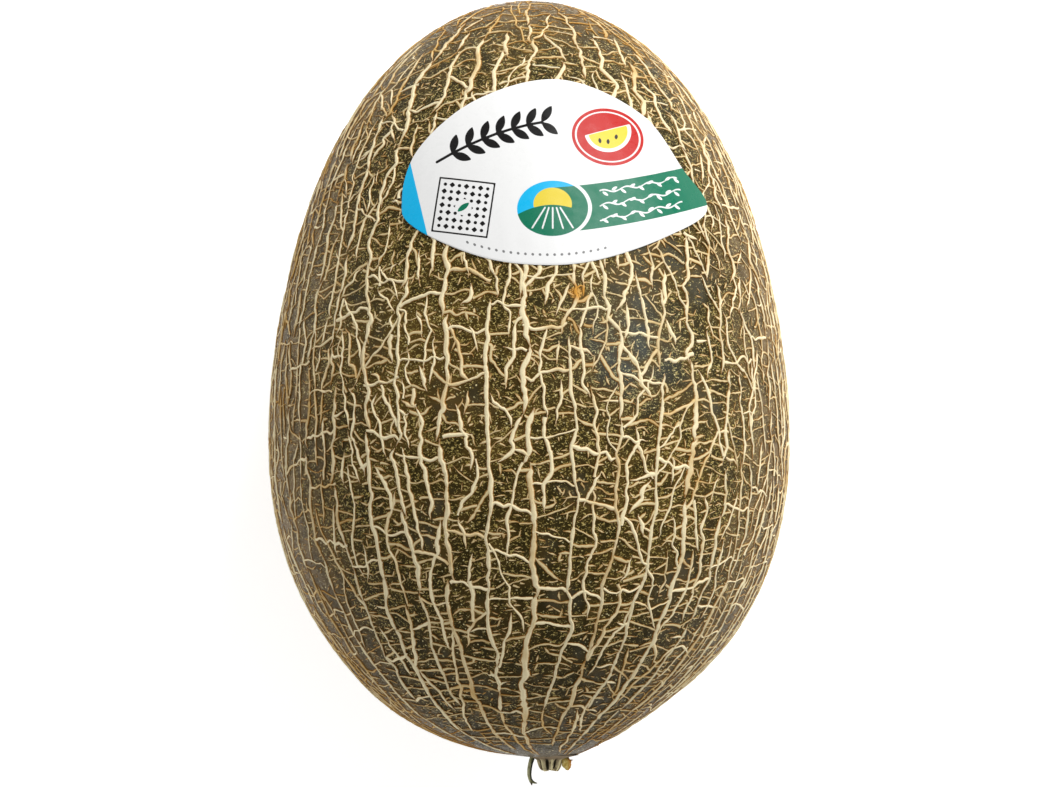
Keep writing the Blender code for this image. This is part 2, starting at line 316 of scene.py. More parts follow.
def seen_from_above(x, y):
    """The place on the skin that lies under each x and y."""
    height = np.full(np.shape(x), GIRTH_RADIUS)
    for _ in range(20):
        along = (y - CENTRE_SHIFT - height * math.sin(REST_TILT)) / math.cos(REST_TILT)
        arc = np.interp(along, ALONG, ARC)
        across = x - np.interp(arc, ARC, SIDE)
        height = np.sqrt(np.maximum(0.0, np.interp(arc, ARC, RADIUS) ** 2 - across**2))
    return arc, np.arctan2(across, height)


def waves(seed, count, finest):
    """A smooth random field over the skin, between about -1 and 1: a few sines in random directions."""
    draw = random.Random(seed)
    terms = []
    for _ in range(count):
        turns = draw.randint(0, 7)
        rate = draw.uniform(0.2, 1.0) / finest
        phase = draw.uniform(0, math.tau)
        terms.append((turns, rate, phase, draw.uniform(0.5, 1.0)))

    def field(arc, around):
        parts = (size * np.sin(turns * around + arc * rate + phase) for turns, rate, phase, size in terms)
        return sum(parts) / math.sqrt(count)

    return field


def spot(x, y, reach):
    """A soft round patch of the skin under this x and y: 1 in its middle, near 0 a few reaches away."""
    arc_there, around_there = seen_from_above(np.array([x]), np.array([y]))

    def field(arc, around):
        across = (np.asarray(around) - around_there[0]) * GIRTH_RADIUS
        return np.exp(-(((np.asarray(arc) - arc_there[0]) ** 2 + across**2) / reach**2))

    return field


def step_between(value, low, high):
    """0 up to low, 1 from high on, and smooth between."""
    part = np.clip((value - low) / (high - low), 0.0, 1.0)
    return part * part * (3.0 - 2.0 * part)


def blossom_end(arc):
    """1 at the blossom end, 0 from a third of the way down the fruit."""
    return step_between(arc, SKIN_LENGTH - BLOSSOM_RING[0], SKIN_LENGTH - BLOSSOM_RING[1])


def flanks(around):
    """1 on both sides and below, 0 on the upper side, where the net is boldest."""
    return np.where(np.cos(around) > 0, step_between(np.abs(np.sin(around)), *FLANK_SINES), 1.0)


def age_at(arc, around):
    """How much browner the net is: most at the blossom end, some near the stem and on the left side."""
    near_stem = 1.0 - step_between(arc, *BROWN_STEM_RING)
    to_left = step_between(-np.sin(around), *BROWN_LEFT_SINES)
    return 1.05 * blossom_end(arc) + 0.65 * near_stem + 0.40 * to_left


def weathered(arc, around):
    """How far a warm brown hides the skin's own green: brown with age at the blossom end, and low on the
    sides a painted sheen, where grazing light brightens the waxy skin.
    """
    side = step_between(np.abs(np.sin(around)), *SIDE_SHEEN_SINES)
    end = step_between(arc, SKIN_LENGTH - WEATHERED_RING[0], SKIN_LENGTH - WEATHERED_RING[1])
    return np.maximum(0.70 * end, 0.72 * side)


# Net of the solid model
class Net:
    """The crests of the solid model's net: lines from pole to pole, and rungs between them."""

    def __init__(self):
        self.draw = random.Random(NET_SEED)
        self.arcs = []
        self.lines = []
        self.on_line = [[] for _ in range(NET_LINES)]
        self.rungs = []

    def add_point(self, line, arc):
        """Adds a point on this line and returns its number."""
        self.arcs.append(arc)
        self.lines.append(line % NET_LINES)
        self.on_line[line % NET_LINES].append(len(self.arcs) - 1)
        return len(self.arcs) - 1

    def scattered(self, amount=RUNG_SCATTER):
        return self.draw.uniform(-amount, amount) * RUNG_SPACING

    def line_end(self, line, from_stem):
        """Where a line starts or ends: every fourth near the pole, the others where the fruit is wide."""
        if line % 4 == 0:
            return BARE_STEM_CAP if from_stem else SKIN_LENGTH - BARE_BLOSSOM_CAP
        radius = HALF_LINES_FROM if line % 2 else QUARTER_LINES_FROM
        widest = int(RADIUS.argmax())
        if from_stem:
            arc = float(np.interp(radius, RADIUS[:widest], ARC[:widest]))
        else:
            arc = float(np.interp(-radius, -RADIUS[widest:], ARC[widest:]))
        return arc + self.scattered(0.3)

    def add_strip(self, left, right, start_rung, end_rung, offset=None):
        """Rungs between two lines: evenly spread, or at an offset so that neighbours' rungs alternate."""
        first = 0.5 * (self.arcs[start_rung[0]] + self.arcs[start_rung[-1]])
        last = 0.5 * (self.arcs[end_rung[0]] + self.arcs[end_rung[-1]])
        if offset is None:
            cells = max(1, round((last - first) / RUNG_SPACING))
            middles = [first + (last - first) * number / cells for number in range(1, cells)]
        else:
            every = [(number + offset) * RUNG_SPACING for number in range(int(last / RUNG_SPACING) + 1)]
            margin = 0.65 * RUNG_SPACING
            middles = [arc for arc in every if first + margin < arc < last - margin]
        for arc in middles:
            left_end = self.add_point(left, arc + self.scattered())
            right_end = self.add_point(right, arc + self.scattered())
            self.rungs.append([left_end, right_end])

    def build(self):
        for start in range(0, NET_LINES, 4):
            self.add_point(start, self.line_end(start, True))
            self.add_point(start, self.line_end(start, False))
        caps = [points[:2] for points in self.on_line]
        for start in range(0, NET_LINES, 4):
            self.fill_between(start, start + 4, caps)
        self.spread_points()

    def fill_between(self, left, right, caps):
        """The middle line between two that run from cap to cap, the two quarter lines, and all rungs."""
        beyond = right % NET_LINES
        middle = (left + right) // 2
        mid_near = self.forked_rung(left, middle, right, True)
        mid_far = self.forked_rung(left, middle, right, False)
        self.add_strip(left, right, [caps[left][0], caps[beyond][0]], mid_near)
        self.add_strip(left, right, mid_far, [caps[left][1], caps[beyond][1]])
        for low, high, side in ((left, middle, 0), (middle, right, 1)):
            quarter = (low + high) // 2
            fork_near = self.forked_rung(low, quarter, high, True)
            fork_far = self.forked_rung(low, quarter, high, False)
            self.add_strip(low, high, mid_near[side : side + 2], fork_near)
            self.add_strip(low, high, fork_far, mid_far[side : side + 2])
            self.add_strip(low, quarter, fork_near[:2], fork_far[:2], 0.25)
            self.add_strip(quarter, high, fork_near[1:], fork_far[1:], 0.75)

    def forked_rung(self, left, middle, right, from_stem):
        """A rung at the end of the middle line, from the line on its left to the one on its right."""
        arc = self.line_end(middle, from_stem)
        rung = [
            self.add_point(left, arc + self.scattered()),
            self.add_point(middle, arc),
            self.add_point(right, arc + self.scattered()),
        ]
        self.rungs.append(rung)
        return rung

    def spread_points(self):
        """Moves points of one line apart until they keep the least gap."""
        for points in self.on_line:
            points.sort(key=self.arcs.__getitem__)
            for _ in range(60):
                for before, after in zip(points, points[1:]):
                    short = LEAST_GAP - (self.arcs[after] - self.arcs[before])
                    if short > 0:
                        self.arcs[before] -= short / 2
                        self.arcs[after] += short / 2

    def places(self):
        """Each point's length from the stem pole and angle, its line wandering a little."""
        turn = math.tau / NET_LINES
        phases = [[self.draw.uniform(0, math.tau) for _ in range(2)] for _ in range(NET_LINES)]
        for arc, line in zip(self.arcs, self.lines):
            slow, quick = phases[line]
            wave = 0.6 * math.sin(arc / 0.024 + slow) + 0.4 * math.sin(arc / 0.009 + quick)
            yield arc, turn * (line + LINE_WANDER * (wave + self.draw.uniform(-0.7, 0.7)))


# Cracks
class Marks:
    """Which cells of the skin hold a crack of one kind. Each row is kept twice, side by side."""

    def __init__(self):
        self.cells = np.zeros((int(SKIN_LENGTH / MARK_CELL) + 2, 2 * MARK_COLUMNS), bool)

    def add(self, arc, around):
        fine = np.linspace(0, len(arc) - 1, 4 * len(arc))
        rows = (np.interp(fine, range(len(arc)), arc) / MARK_CELL).astype(int)
        turns = np.interp(fine, range(len(arc)), around) / math.tau
        columns = (turns * MARK_COLUMNS).astype(int) % MARK_COLUMNS
        rows = np.clip(rows, 0, len(self.cells) - 1)
        self.cells[rows, columns] = True
        self.cells[rows, columns + MARK_COLUMNS] = True

    def near(self, arc, around, back, ahead, left, right):
        """Whether a crack lies in the patch that reaches this far back, ahead, left and right of here."""
        per_metre = MARK_COLUMNS / (math.tau * radius_at(arc))
        low = int((arc - back) / MARK_CELL)
        high = int((arc + ahead) / MARK_CELL) + 1
        middle = around / math.tau * MARK_COLUMNS
        first = int(math.floor(middle - left * per_metre))
        wide = min(MARK_COLUMNS, int((left + right) * per_metre) + 1)
        first %= MARK_COLUMNS
        return bool(self.cells[max(0, low) : max(0, high), first : first + wide].any())

    def density(self, rows_wide):
        """The share of cells taken, spread over this many rows and columns, as a function of place."""
        cells = self.cells[:, :MARK_COLUMNS].astype(np.float32)
        for _ in range(3):
            for axis in (0, 1):
                cells = sum(np.roll(cells, shift, axis) for shift in range(-rows_wide, rows_wide + 1))
                cells /= 2 * rows_wide + 1

        def at(arc, around):
            row = np.clip((np.asarray(arc) / MARK_CELL).astype(int), 0, len(cells) - 1)
            column = (np.asarray(around) / math.tau * MARK_COLUMNS).astype(int) % MARK_COLUMNS
            return cells[row, column]

        return at


class Crack:
    """One corky line: its path over the skin, its width, height and how its two ends run out."""

    def __init__(self, path, width, height, taper_start=True, taper_end=True):
        self.arc = np.array([place[0] for place in path])
        self.around = np.array([place[1] for place in path])
        self.width = width
        self.height = height
        self.taper_start = taper_start
        self.taper_end = taper_end


def walk(draw, start, heading, reach, kink, blocks, grace, keep_off=None):
    """Steps over the skin along a heading, with kinks, until it meets a crack or has gone its reach.

    A heading of 0 runs toward the blossom end and a quarter turn runs round the fruit. The crack is free
    to cross others within its first stretch, its grace.
    """
    arc, around = start
    path = [start]
    aim = heading + draw.gauss(0.0, kink)
    angle = aim
    gone = 0.0
    met = False
    while gone < reach:
        if draw.random() < STEP / KINK_SPACING:
            aim = heading + draw.gauss(0.0, kink)
        angle += TURN_SHARE * (aim - angle) + draw.gauss(0.0, TURN_JITTER)
        arc += STEP * math.cos(angle)
        around += STEP * math.sin(angle) / radius_at(arc)
        if not SMOOTH_STEM_CAP < arc < SKIN_LENGTH - SMOOTH_BLOSSOM_CAP:
            break
        path.append((arc, around))
        gone += STEP
        if gone > grace and any(marks.near(arc, around, TOUCH, TOUCH, TOUCH, TOUCH) for marks in blocks):
            met = True
            break
        if keep_off and gone > grace and keep_off(arc, around):
            break
    return path, met


def kinked(draw, arc, spacing, size):
    """A sideways wander with a kink every so often, along these lengths."""
    knots = [arc[0]]
    while knots[-1] < arc[-1]:
        knots.append(knots[-1] + draw.uniform(0.5, 1.5) * spacing)
    return np.interp(arc, knots, [draw.gauss(0.0, size) for _ in knots])


def pole_to_pole_lines(draw, net, places):
    """The strongest lines, which follow the solid's crests, each in pieces that overlap a little."""
    cracks = []
    for line in range(NET_LINES):
        points = net.on_line[line]
        arcs = np.array([places[point][0] for point in points])
        arounds = np.array([places[point][1] for point in points])
        start, end = arcs[0], arcs[-1]
        if line % 4 == 0:
            start = SMOOTH_STEM_CAP + draw.uniform(-0.001, 0.005)
        place = start
        side = draw.choice((-1, 1))
        while place < end - 0.004:
            calm = max(0.35, min(1.0, place / ORDERLY_FROM_STEM))
            middle = float(np.interp(place, arcs, arounds))
            whole = (1.0 - 0.72 * float(blossom_end(place))) * (1.0 - 0.45 * float(flanks(middle)))
            piece_end = min(end, place + draw.uniform(*STRONG_PIECES) * whole / calm)
            arc = np.arange(place, piece_end, STEP)
            radius = np.maximum(np.interp(arc, ARC, RADIUS), 0.006)
            room = np.minimum(1.0, radius / 0.05) * calm
            most_lean = 0.0017 + 0.0007 * float(blossom_end(place))
            lean = side * draw.uniform(0.0003, most_lean) * np.linspace(-1.0, 1.0, len(arc))
            wander = kinked(draw, arc, *COARSE_WANDER) + kinked(draw, arc, *FINE_WANDER) + lean
            around = np.interp(arc, arcs, arounds) + wander * room / radius
            if len(arc) > 4:
                width = draw.uniform(*STRONG_WIDTHS) * (1.0 if line % 4 == 0 else 0.82)
                cracks.append(Crack(list(zip(arc, around)), width, STRONG_HEIGHT))
            place = piece_end - draw.uniform(*STRONG_OVERLAPS) * calm
            side = -side if draw.random() < 0.3 else side
    return cracks


def ladder_rungs(draw, net, places):
    """The rungs of the solid's net, each a wandering crack from line to line."""
    cracks = []
    for rung in net.rungs:
        for first, last in zip(rung, rung[1:]):
            (arc_a, around_a), (arc_b, around_b) = places[first], places[last]
            around_b += math.tau * round((around_a - around_b) / math.tau)
            if not LADDER_STEM_CAP <= arc_a <= SKIN_LENGTH - LADDER_BLOSSOM_CAP:
                continue
            if draw.random() < LOST_RUNG_SHARE:
                continue
            length = math.hypot(arc_b - arc_a, (around_b - around_a) * radius_at(arc_a))
            part = np.linspace(0, 1, max(4, int(length / STEP)))
            fixed_ends = np.sin(math.pi * part)
            bow = draw.uniform(-0.0016, 0.0016)
            arc = arc_a + (arc_b - arc_a) * part + bow * fixed_ends
            arc += kinked(draw, part * length, *RUNG_WANDER) * np.minimum(1.0, 3.0 * fixed_ends)
            around = around_a + (around_b - around_a) * part
            cut = draw.random()
            keep = int(draw.uniform(0.35, 0.75) * len(part))
            if cut < 0.18:
                arc, around = arc[:keep], around[:keep]
            elif cut < 0.36:
                arc, around = arc[-keep:], around[-keep:]
            if len(arc) > 3:
                path = list(zip(arc, around))
                width = draw.uniform(*LADDER_WIDTHS)
                cracks.append(Crack(path, width, LADDER_HEIGHT, 0.18 <= cut < 0.36, cut < 0.18))
    return cracks


def lines_between(draw, lines, strength, disorder, crackled):
    """More lines from pole to pole, grown where the strongest ones leave room."""
    cracks = []
    arcs = draw.choices(ARC.tolist(), weights=RADIUS.tolist(), k=LINE_TRIES)
    for arc in arcs:
        around = draw.uniform(-math.pi, math.pi)
        gap = LINE_GAP * (1.0 + 0.35 * float(strength(arc, around)) - 0.40 * float(crackled(arc, around)))
        gap *= (1.0 + 0.35 * float(blossom_end(arc))) * (1.0 - 0.22 * float(flanks(around)))
        if not BETWEEN_STEM_CAP < arc < SKIN_LENGTH - BETWEEN_BLOSSOM_CAP:
            continue
        if lines.near(arc, around, 0.0015, 0.0015, gap, gap):
            continue

        def crowded(here, there):
            return draw.random() < 0.12 and lines.near(here, there, 0.0, 0.0004, 0.0019, 0.0019)

        loose = min(1.0, arc / ORDERLY_FROM_STEM) * max(0.0, min(1.0, 0.5 + float(disorder(arc, around))))
        kink = 0.16 + 0.30 * loose
        lean = draw.gauss(0.0, 0.10 + 0.35 * loose)
        reach = draw.uniform(*BETWEEN_REACHES) * (1.6 - loose)
        onward, met_on = walk(draw, (arc, around), lean, reach, kink, [lines], 0.0, crowded)
        back, met_back = walk(draw, (arc, around), math.pi + lean, reach, kink, [lines], 0.0, crowded)
        path = back[::-1] + onward[1:]
        if len(path) < 6:
            continue
        crack = Crack(path, draw.uniform(*BETWEEN_WIDTHS), BETWEEN_HEIGHT, not met_back, not met_on)
        lines.add(crack.arc, crack.around)
        cracks.append(crack)
    return cracks


def cross_cracks(draw, parents, lines, rungs, strength, disorder, crackled):
    """Rungs that start on a line and run round the fruit until they meet another crack or give out."""
    cracks = []
    starts = []
    for parent in parents:
        for index in range(2, len(parent.arc) - 1, 2):
            for way in (-1, 1):
                starts.append((float(parent.arc[index]), float(parent.around[index]), way))
    draw.shuffle(starts)
    for arc, around, way in starts:
        low_part = max(0.0, min(1.0, (0.150 - arc) / 0.070))
        stem_cap = CROSS_STEM_CAP + draw.uniform(-0.003, 0.004)
        if arc < stem_cap or arc > SKIN_LENGTH - CROSS_BLOSSOM_CAP:
            continue
        gap = (0.0034 - 0.0013 * low_part) * (1.0 + 0.4 * float(strength(arc, around)))
        gap *= draw.uniform(0.5, 1.6)
        gap = max(0.0011, gap * (1.0 - 0.40 * float(crackled(arc, around))))
        left, right = (0.0030, -0.0004) if way < 0 else (-0.0004, 0.0030)
        if rungs.near(arc, around, gap, gap, left, right):
            continue
        loose = (1.0 - 0.75 * low_part) * max(0.0, min(1.0, 0.55 + float(disorder(arc, around))))
        heading = way * math.pi / 2 + draw.gauss(0.0, 0.13 + 0.45 * loose)
        short = draw.random() < SHORT_RUNG_SHARE
        reach = draw.uniform(*SHORT_RUNG_REACHES) if short else RUNG_REACH

        def beside(here, there):
            return draw.random() < 0.22 and rungs.near(here, there, 0.0010, 0.0010, 0.0003, 0.0003)

        kink = 0.17 + 0.25 * loose
        path, met = walk(draw, (arc, around), heading, reach, kink, [lines, rungs], 0.0014, beside)
        if len(path) < 3:
            continue
        width = draw.uniform(*CROSS_WIDTHS) * (0.88 if short else 1.0)
        crack = Crack(path, width, CROSS_HEIGHT, False, not met)
        rungs.add(crack.arc[1:], crack.around[1:])
        cracks.append(crack)
    return cracks


def forks(draw, parents, lines, rungs):
    """Small cracks that part from others shortly before their dead ends."""
    cracks = []
    for parent in parents:
        count = len(parent.arc)
        if not parent.taper_end or count < 5 or draw.random() > FORK_SHARE:
            continue
        index = int(draw.uniform(0.45, 0.85) * count)
        arc, around = float(parent.arc[index]), float(parent.around[index])
        step_round = (around - float(parent.around[index - 1])) * radius_at(arc)
        heading = math.atan2(step_round, arc - float(parent.arc[index - 1]))
        heading += draw.choice((-1, 1)) * draw.uniform(0.6, 1.3)
        reach = draw.uniform(*FORK_REACHES)
        path, met = walk(draw, (arc, around), heading, reach, BRANCH_KINK, [lines, rungs], 0.0009)
        if len(path) < 3:
            continue
        crack = Crack(path, 0.85 * parent.width, FORK_HEIGHT, False, not met)
        rungs.add(crack.arc[1:], crack.around[1:])
        cracks.append(crack)
    return cracks


def twigs(draw, lines, rungs):
    """Short fine cracks on the open skin, most of them running round the fruit near its stem end."""
    cracks = []
    arcs = draw.choices(ARC.tolist(), weights=RADIUS.tolist(), k=TWIG_TRIES)
    for arc in arcs:
        around = draw.uniform(-math.pi, math.pi)
        if not TWIG_STEM_CAP < arc < SKIN_LENGTH - TWIG_BLOSSOM_CAP:
            continue
        if lines.near(arc, around, 0.0005, 0.0005, 0.0006, 0.0006):
            continue
        if rungs.near(arc, around, 0.0008, 0.0008, 0.0006, 0.0006):
            continue
        near_stem = arc < CROSSWISE_FROM_STEM
        crosswise = 0.93 if near_stem else 0.55 + 0.40 * float(blossom_end(arc))
        heading = math.pi / 2 if draw.random() < crosswise else 0.0
        stray = 0.22 if near_stem else 0.40
        heading += draw.gauss(0.0, stray) + (math.pi if draw.random() < 0.5 else 0.0)
        reach = draw.uniform(*TWIG_REACHES)
        path, met = walk(draw, (arc, around), heading, reach, BRANCH_KINK, [lines, rungs], 0.0)
        if len(path) < 3:
            continue
        crack = Crack(path, draw.uniform(*TWIG_WIDTHS), TWIG_HEIGHT, True, not met)
        rungs.add(crack.arc, crack.around)
        cracks.append(crack)
    return cracks


def grow_net():
    """All cracks, by kind, and the maps of the skin that they take."""
    draw = random.Random(GROWTH_SEED)
    strength = waves(*STRENGTH_WAVES)
    unrest = waves(*UNREST_WAVES)
    crackled = spot(*CRACKLED_SPOT)

    def disorder(arc, around):
        return unrest(arc, around) + 0.6 * crackled(arc, around) + 0.35 * flanks(around)

    net = Net()
    net.build()
    places = list(net.places())
    lines, rungs = Marks(), Marks()
    strong = pole_to_pole_lines(draw, net, places)
    for crack in strong:
        lines.add(crack.arc, crack.around)
    ladder = ladder_rungs(draw, net, places)
    for crack in ladder:
        rungs.add(crack.arc, crack.around)
    between = lines_between(draw, lines, strength, disorder, crackled)
    cross = cross_cracks(draw, strong + between, lines, rungs, strength, disorder, crackled)
    cross += forks(draw, between + cross, lines, rungs)
    fine = twigs(draw, lines, rungs)
    kinds = {"strong": strong, "between": between, "ladder": ladder, "cross": cross, "fine": fine}
    return kinds, lines, rungs


# Ribbons: across, rise and crest of each point of a section, and the map that packs their strips
SPLIT_RIB = (
    (-1.50, -0.06, 0.0),
    (-0.85, 0.55, 0.62),
    (-0.40, 1.0, 1.0),
    (0.0, 0.74, 0.50),
    (0.40, 1.0, 1.0),
    (0.85, 0.55, 0.62),
    (1.50, -0.06, 0.0),
)
ROUND_RIB = (
    (-1.58, -0.06, 0.0),
    (-0.62, 0.8, 0.85),
    (0.0, 1.0, 1.0),
    (0.62, 0.8, 0.85),
    (1.58, -0.06, 0.0),
)
FINE_RIB = ((-1.62, -0.05, 0.0), (0.0, 1.0, 1.0), (1.62, -0.05, 0.0))
BAKE_PIXELS = 1024
BAKE_PIXELS_PER_METRE = 2600
BAKE_ROW_PIXELS = 5
LEAST_RIB_RADIUS = 0.003


def rib_points(crack, section, spacing, draw, pressed_flat, stained):
    """The ribbon's points, a row for each step along it, with each one's nearness to the crest and stain."""
    step_round = np.diff(crack.around) * np.maximum(np.interp(crack.arc[1:], ARC, RADIUS), LEAST_RIB_RADIUS)
    gone = np.concatenate([[0.0], np.cumsum(np.hypot(np.diff(crack.arc), step_round))])
    length = gone[-1]
    along = np.linspace(0.0, length, max(4, int(length / spacing) + 1))
    arc = np.interp(along, gone, crack.arc)
    around = np.interp(along, gone, crack.around)
    radius = np.maximum(np.interp(arc, ARC, RADIUS), LEAST_RIB_RADIUS)
    step_arc = np.gradient(arc)
    step_round = np.gradient(around) * radius
    size = np.maximum(np.hypot(step_arc, step_round), 1e-9)
    step_arc, step_round = step_arc / size, step_round / size
    swell = 1.0 + kinked(draw, along, *COARSE_SWELL) + kinked(draw, along, *FINE_SWELL)
    slim = (1.0 - 0.24 * flanks(around)) * (1.0 - 0.33 * blossom_end(arc))
    swell = np.clip(swell, 0.45, 1.5) * (0.5 + 0.5 * step_between(arc, 0.006, 0.060)) * slim
    run_out = min(RUN_OUT, 0.45 * length)
    if crack.taper_start:
        swell *= np.clip(0.22 + 0.78 * along / run_out, 0.0, 1.0)
    if crack.taper_end:
        swell *= np.clip(0.22 + 0.78 * (length - along) / run_out, 0.0, 1.0)
    half = 0.5 * crack.width * swell
    sway = kinked(draw, along, *RIB_SWAY) * crack.width
    raised = step_between(SKIN_LENGTH - arc, FLATTENED_RING[1], FLATTENED_RING[0])
    flat = pressed_flat(arc, around) * raised
    rows = []
    for across, rise, _ in section:
        offset = across * half + sway
        lift = crack.height * np.minimum(1.0, swell) * rise * flat - 0.00006 * (1.0 - raised)
        rows.append(skin(arc - step_round * offset, around + step_arc * offset / radius, lift))
    points = np.stack(rows, 1)
    points[:, :, 2] = np.maximum(points[:, :, 2], 0.0)
    crests = np.tile([crest for _, _, crest in section], (len(arc), 1)) * np.clip(swell, 0.4, 1.0)[:, None]
    stains = np.tile(stained(arc, around)[:, None], (1, len(section)))
    return points, crests, stains, along


def ribbon_object(name, cracks, section, spacing, draw, pressed_flat, material):
    """One mesh of all these cracks' ribbons, with crest, stain and tone, and a map that packs the strips."""
    places, faces, crests, stains, tones, maps = [], [], [], [], [], []
    stained = spot(*STAINED_SPOT)
    base = 0
    wide = len(section)
    column, row = 2.0, 0
    for crack in cracks:
        points, crest, stain, along = rib_points(crack, section, spacing, draw, pressed_flat, stained)
        count = len(points)
        corner = base + np.arange(count - 1)[:, None] * wide + np.arange(wide - 1)[None, :]
        faces.append(np.stack([corner, corner + 1, corner + wide + 1, corner + wide], -1).reshape(-1, 4))
        places.append(points.reshape(-1, 3))
        crests.append(crest.reshape(-1))
        stains.append(stain.reshape(-1))
        tones.append(np.full(crest.size, draw.random() + age_at(crack.arc.mean(), crack.around.mean())))
        strip = along * BAKE_PIXELS_PER_METRE
        if column + strip[-1] > BAKE_PIXELS - 2:
            column, row = 2.0, (row + 1) % (BAKE_PIXELS // BAKE_ROW_PIXELS)
        across = (row + 0.14 + 0.72 * np.arange(wide) / (wide - 1)) * BAKE_ROW_PIXELS
        strips = np.stack(np.broadcast_arrays(column + strip[:, None], across[None, :]), -1)
        maps.append(strips.reshape(-1, 2) / BAKE_PIXELS)
        column += strip[-1] + 2.0
        base += count * wide
    faces = np.concatenate(faces)
    made = mesh_object(name, np.concatenate(places), faces, material)
    put_values(made.data, "crest", np.concatenate(crests))
    put_values(made.data, "stained", np.concatenate(stains))
    put_values(made.data, "tone", np.concatenate(tones))
    put_map(made.data, np.concatenate(maps))
    return made


# Meshes
def mesh_object(name, points, quads, material):
    """An object of these points and four-cornered faces, in smooth shading."""
    quads = np.asarray(quads)
    mesh = bpy.data.meshes.new(name)
    mesh.vertices.add(len(points))
    mesh.vertices.foreach_set("co", np.asarray(points, np.float32).ravel())
    mesh.loops.add(quads.size)
    mesh.loops.foreach_set("vertex_index", quads.ravel())
    mesh.polygons.add(len(quads))
    mesh.polygons.foreach_set("loop_start", np.arange(0, quads.size, 4))
    mesh.update(calc_edges=True)
    mesh.shade_smooth()
    mesh.materials.append(material)
    made = bpy.data.objects.new(name, mesh)
    bpy.context.scene.collection.objects.link(made)
    return made


def put_values(mesh, name, values):
    layer = mesh.attributes.new(name, "FLOAT", "POINT")
    layer.data.foreach_set("value", np.asarray(values, np.float32))


def put_map(mesh, places):
    """A map for the material's bake, from a place in the unit square for each vertex."""
    layer = mesh.uv_layers.new(name="OFBake")
    corners = np.empty(len(mesh.loops), np.int32)
    mesh.loops.foreach_get("vertex_index", corners)
    layer.data.foreach_set("uv", np.asarray(places, np.float32)[corners].ravel())


def grid_faces(rows, columns, closed):
    """The quads of a grid of points kept row by row. A closed one joins its last column to its first."""
    row = np.arange(rows - 1)[:, None] * columns
    column = np.arange(columns if closed else columns - 1)[None, :]
    after = (column + 1) % columns
    onward = row + columns
    return np.stack([row + column, row + after, onward + after, onward + column], -1).reshape(-1, 4)


# Materials
class Nodes:
    """A short way to write a material's node tree. Its colours are sockets or what rgba takes."""

    def __init__(self, name):
        self.material = bpy.data.materials.new(name)
        self.material.use_nodes = True
        self.tree = self.material.node_tree
        self.shader = self.tree.nodes["Principled BSDF"]

    def add(self, kind, inputs=None, **settings):
        node = self.tree.nodes.new(kind)
        for key, value in settings.items():
            setattr(node, key, value)
        for key, value in (inputs or {}).items():
            self.put(node.inputs[key], value)
        return node

    def put(self, socket, value):
        if isinstance(value, bpy.types.NodeSocket):
            self.tree.links.new(value, socket)
        else:
            socket.default_value = value

    def between(self, value, low, high):
        """0 up to low, 1 from high on."""
        inputs = {"Value": value, "From Min": low, "From Max": high}
        return self.add("ShaderNodeMapRange", inputs, interpolation_type="SMOOTHSTEP").outputs["Result"]

    def mix(self, factor, first, second):
        node = self.add("ShaderNodeMix", data_type="RGBA")
        self.put(node.inputs[0], factor)
        self.put(node.inputs[6], rgba(first))
        self.put(node.inputs[7], rgba(second))
        return node.outputs[2]

    def shade(self, value, low, high, first, second):
        """The first colour where the value is up to low, the second from high on."""
        return self.mix(self.between(value, low, high), first, second)

    def maths(self, operation, first, second):
        return self.add("ShaderNodeMath", {0: first, 1: second}, operation=operation).outputs[0]

    def plus(self, first, second, share):
        """The first value and this share of the second."""
        return self.maths("ADD", first, self.maths("MULTIPLY", second, share))

    def attribute(self, name):
        return self.add("ShaderNodeAttribute", attribute_name=name).outputs["Fac"]

    def noise(self, where, scale, detail=3.0, distortion=0.0, roughness=0.5):
        inputs = {"Vector": where, "Scale": scale, "Detail": detail, "Distortion": distortion}
        inputs["Roughness"] = roughness
        return self.add("ShaderNodeTexNoise", inputs).outputs["Fac"]

    def dots(self, where, scale):
        """The distance to the nearest of many scattered points, in parts of their spacing."""
        return self.add("ShaderNodeTexVoronoi", {"Vector": where, "Scale": scale}).outputs["Distance"]

    def object_place(self, stretch=(1.0, 1.0, 1.0)):
        place = self.add("ShaderNodeTexCoord").outputs["Object"]
        return self.add("ShaderNodeMapping", {"Vector": place, "Scale": stretch}).outputs["Vector"]

    def height(self):
        return self.add("ShaderNodeSeparateXYZ", {"Vector": self.object_place()}).outputs["Z"]

    def finish(self, colour, roughness, height=None, depth=0.0003, strength=1.0, **sockets):
        self.put(self.shader.inputs["Base Color"], rgba(colour))
        self.put(self.shader.inputs["Roughness"], roughness)
        for name, value in sockets.items():
            self.put(self.shader.inputs[name.replace("_", " ")], value)
        if height is not None:
            bump = self.add("ShaderNodeBump", {"Height": height, "Strength": strength, "Distance": depth})
            self.put(self.shader.inputs["Normal"], bump.outputs["Normal"])
        return self.material


def rgba(colour):
    """Three values are a colour as a screen shows it, 0 to 255 a channel. They turn to linear values here.

    Four values are linear ones already, and they stay, as a socket does.
    """
    if isinstance(colour, bpy.types.NodeSocket) or len(colour) == 4:
        return colour
    return (*((channel / 255.0) ** 2.2 for channel in colour), 1.0)


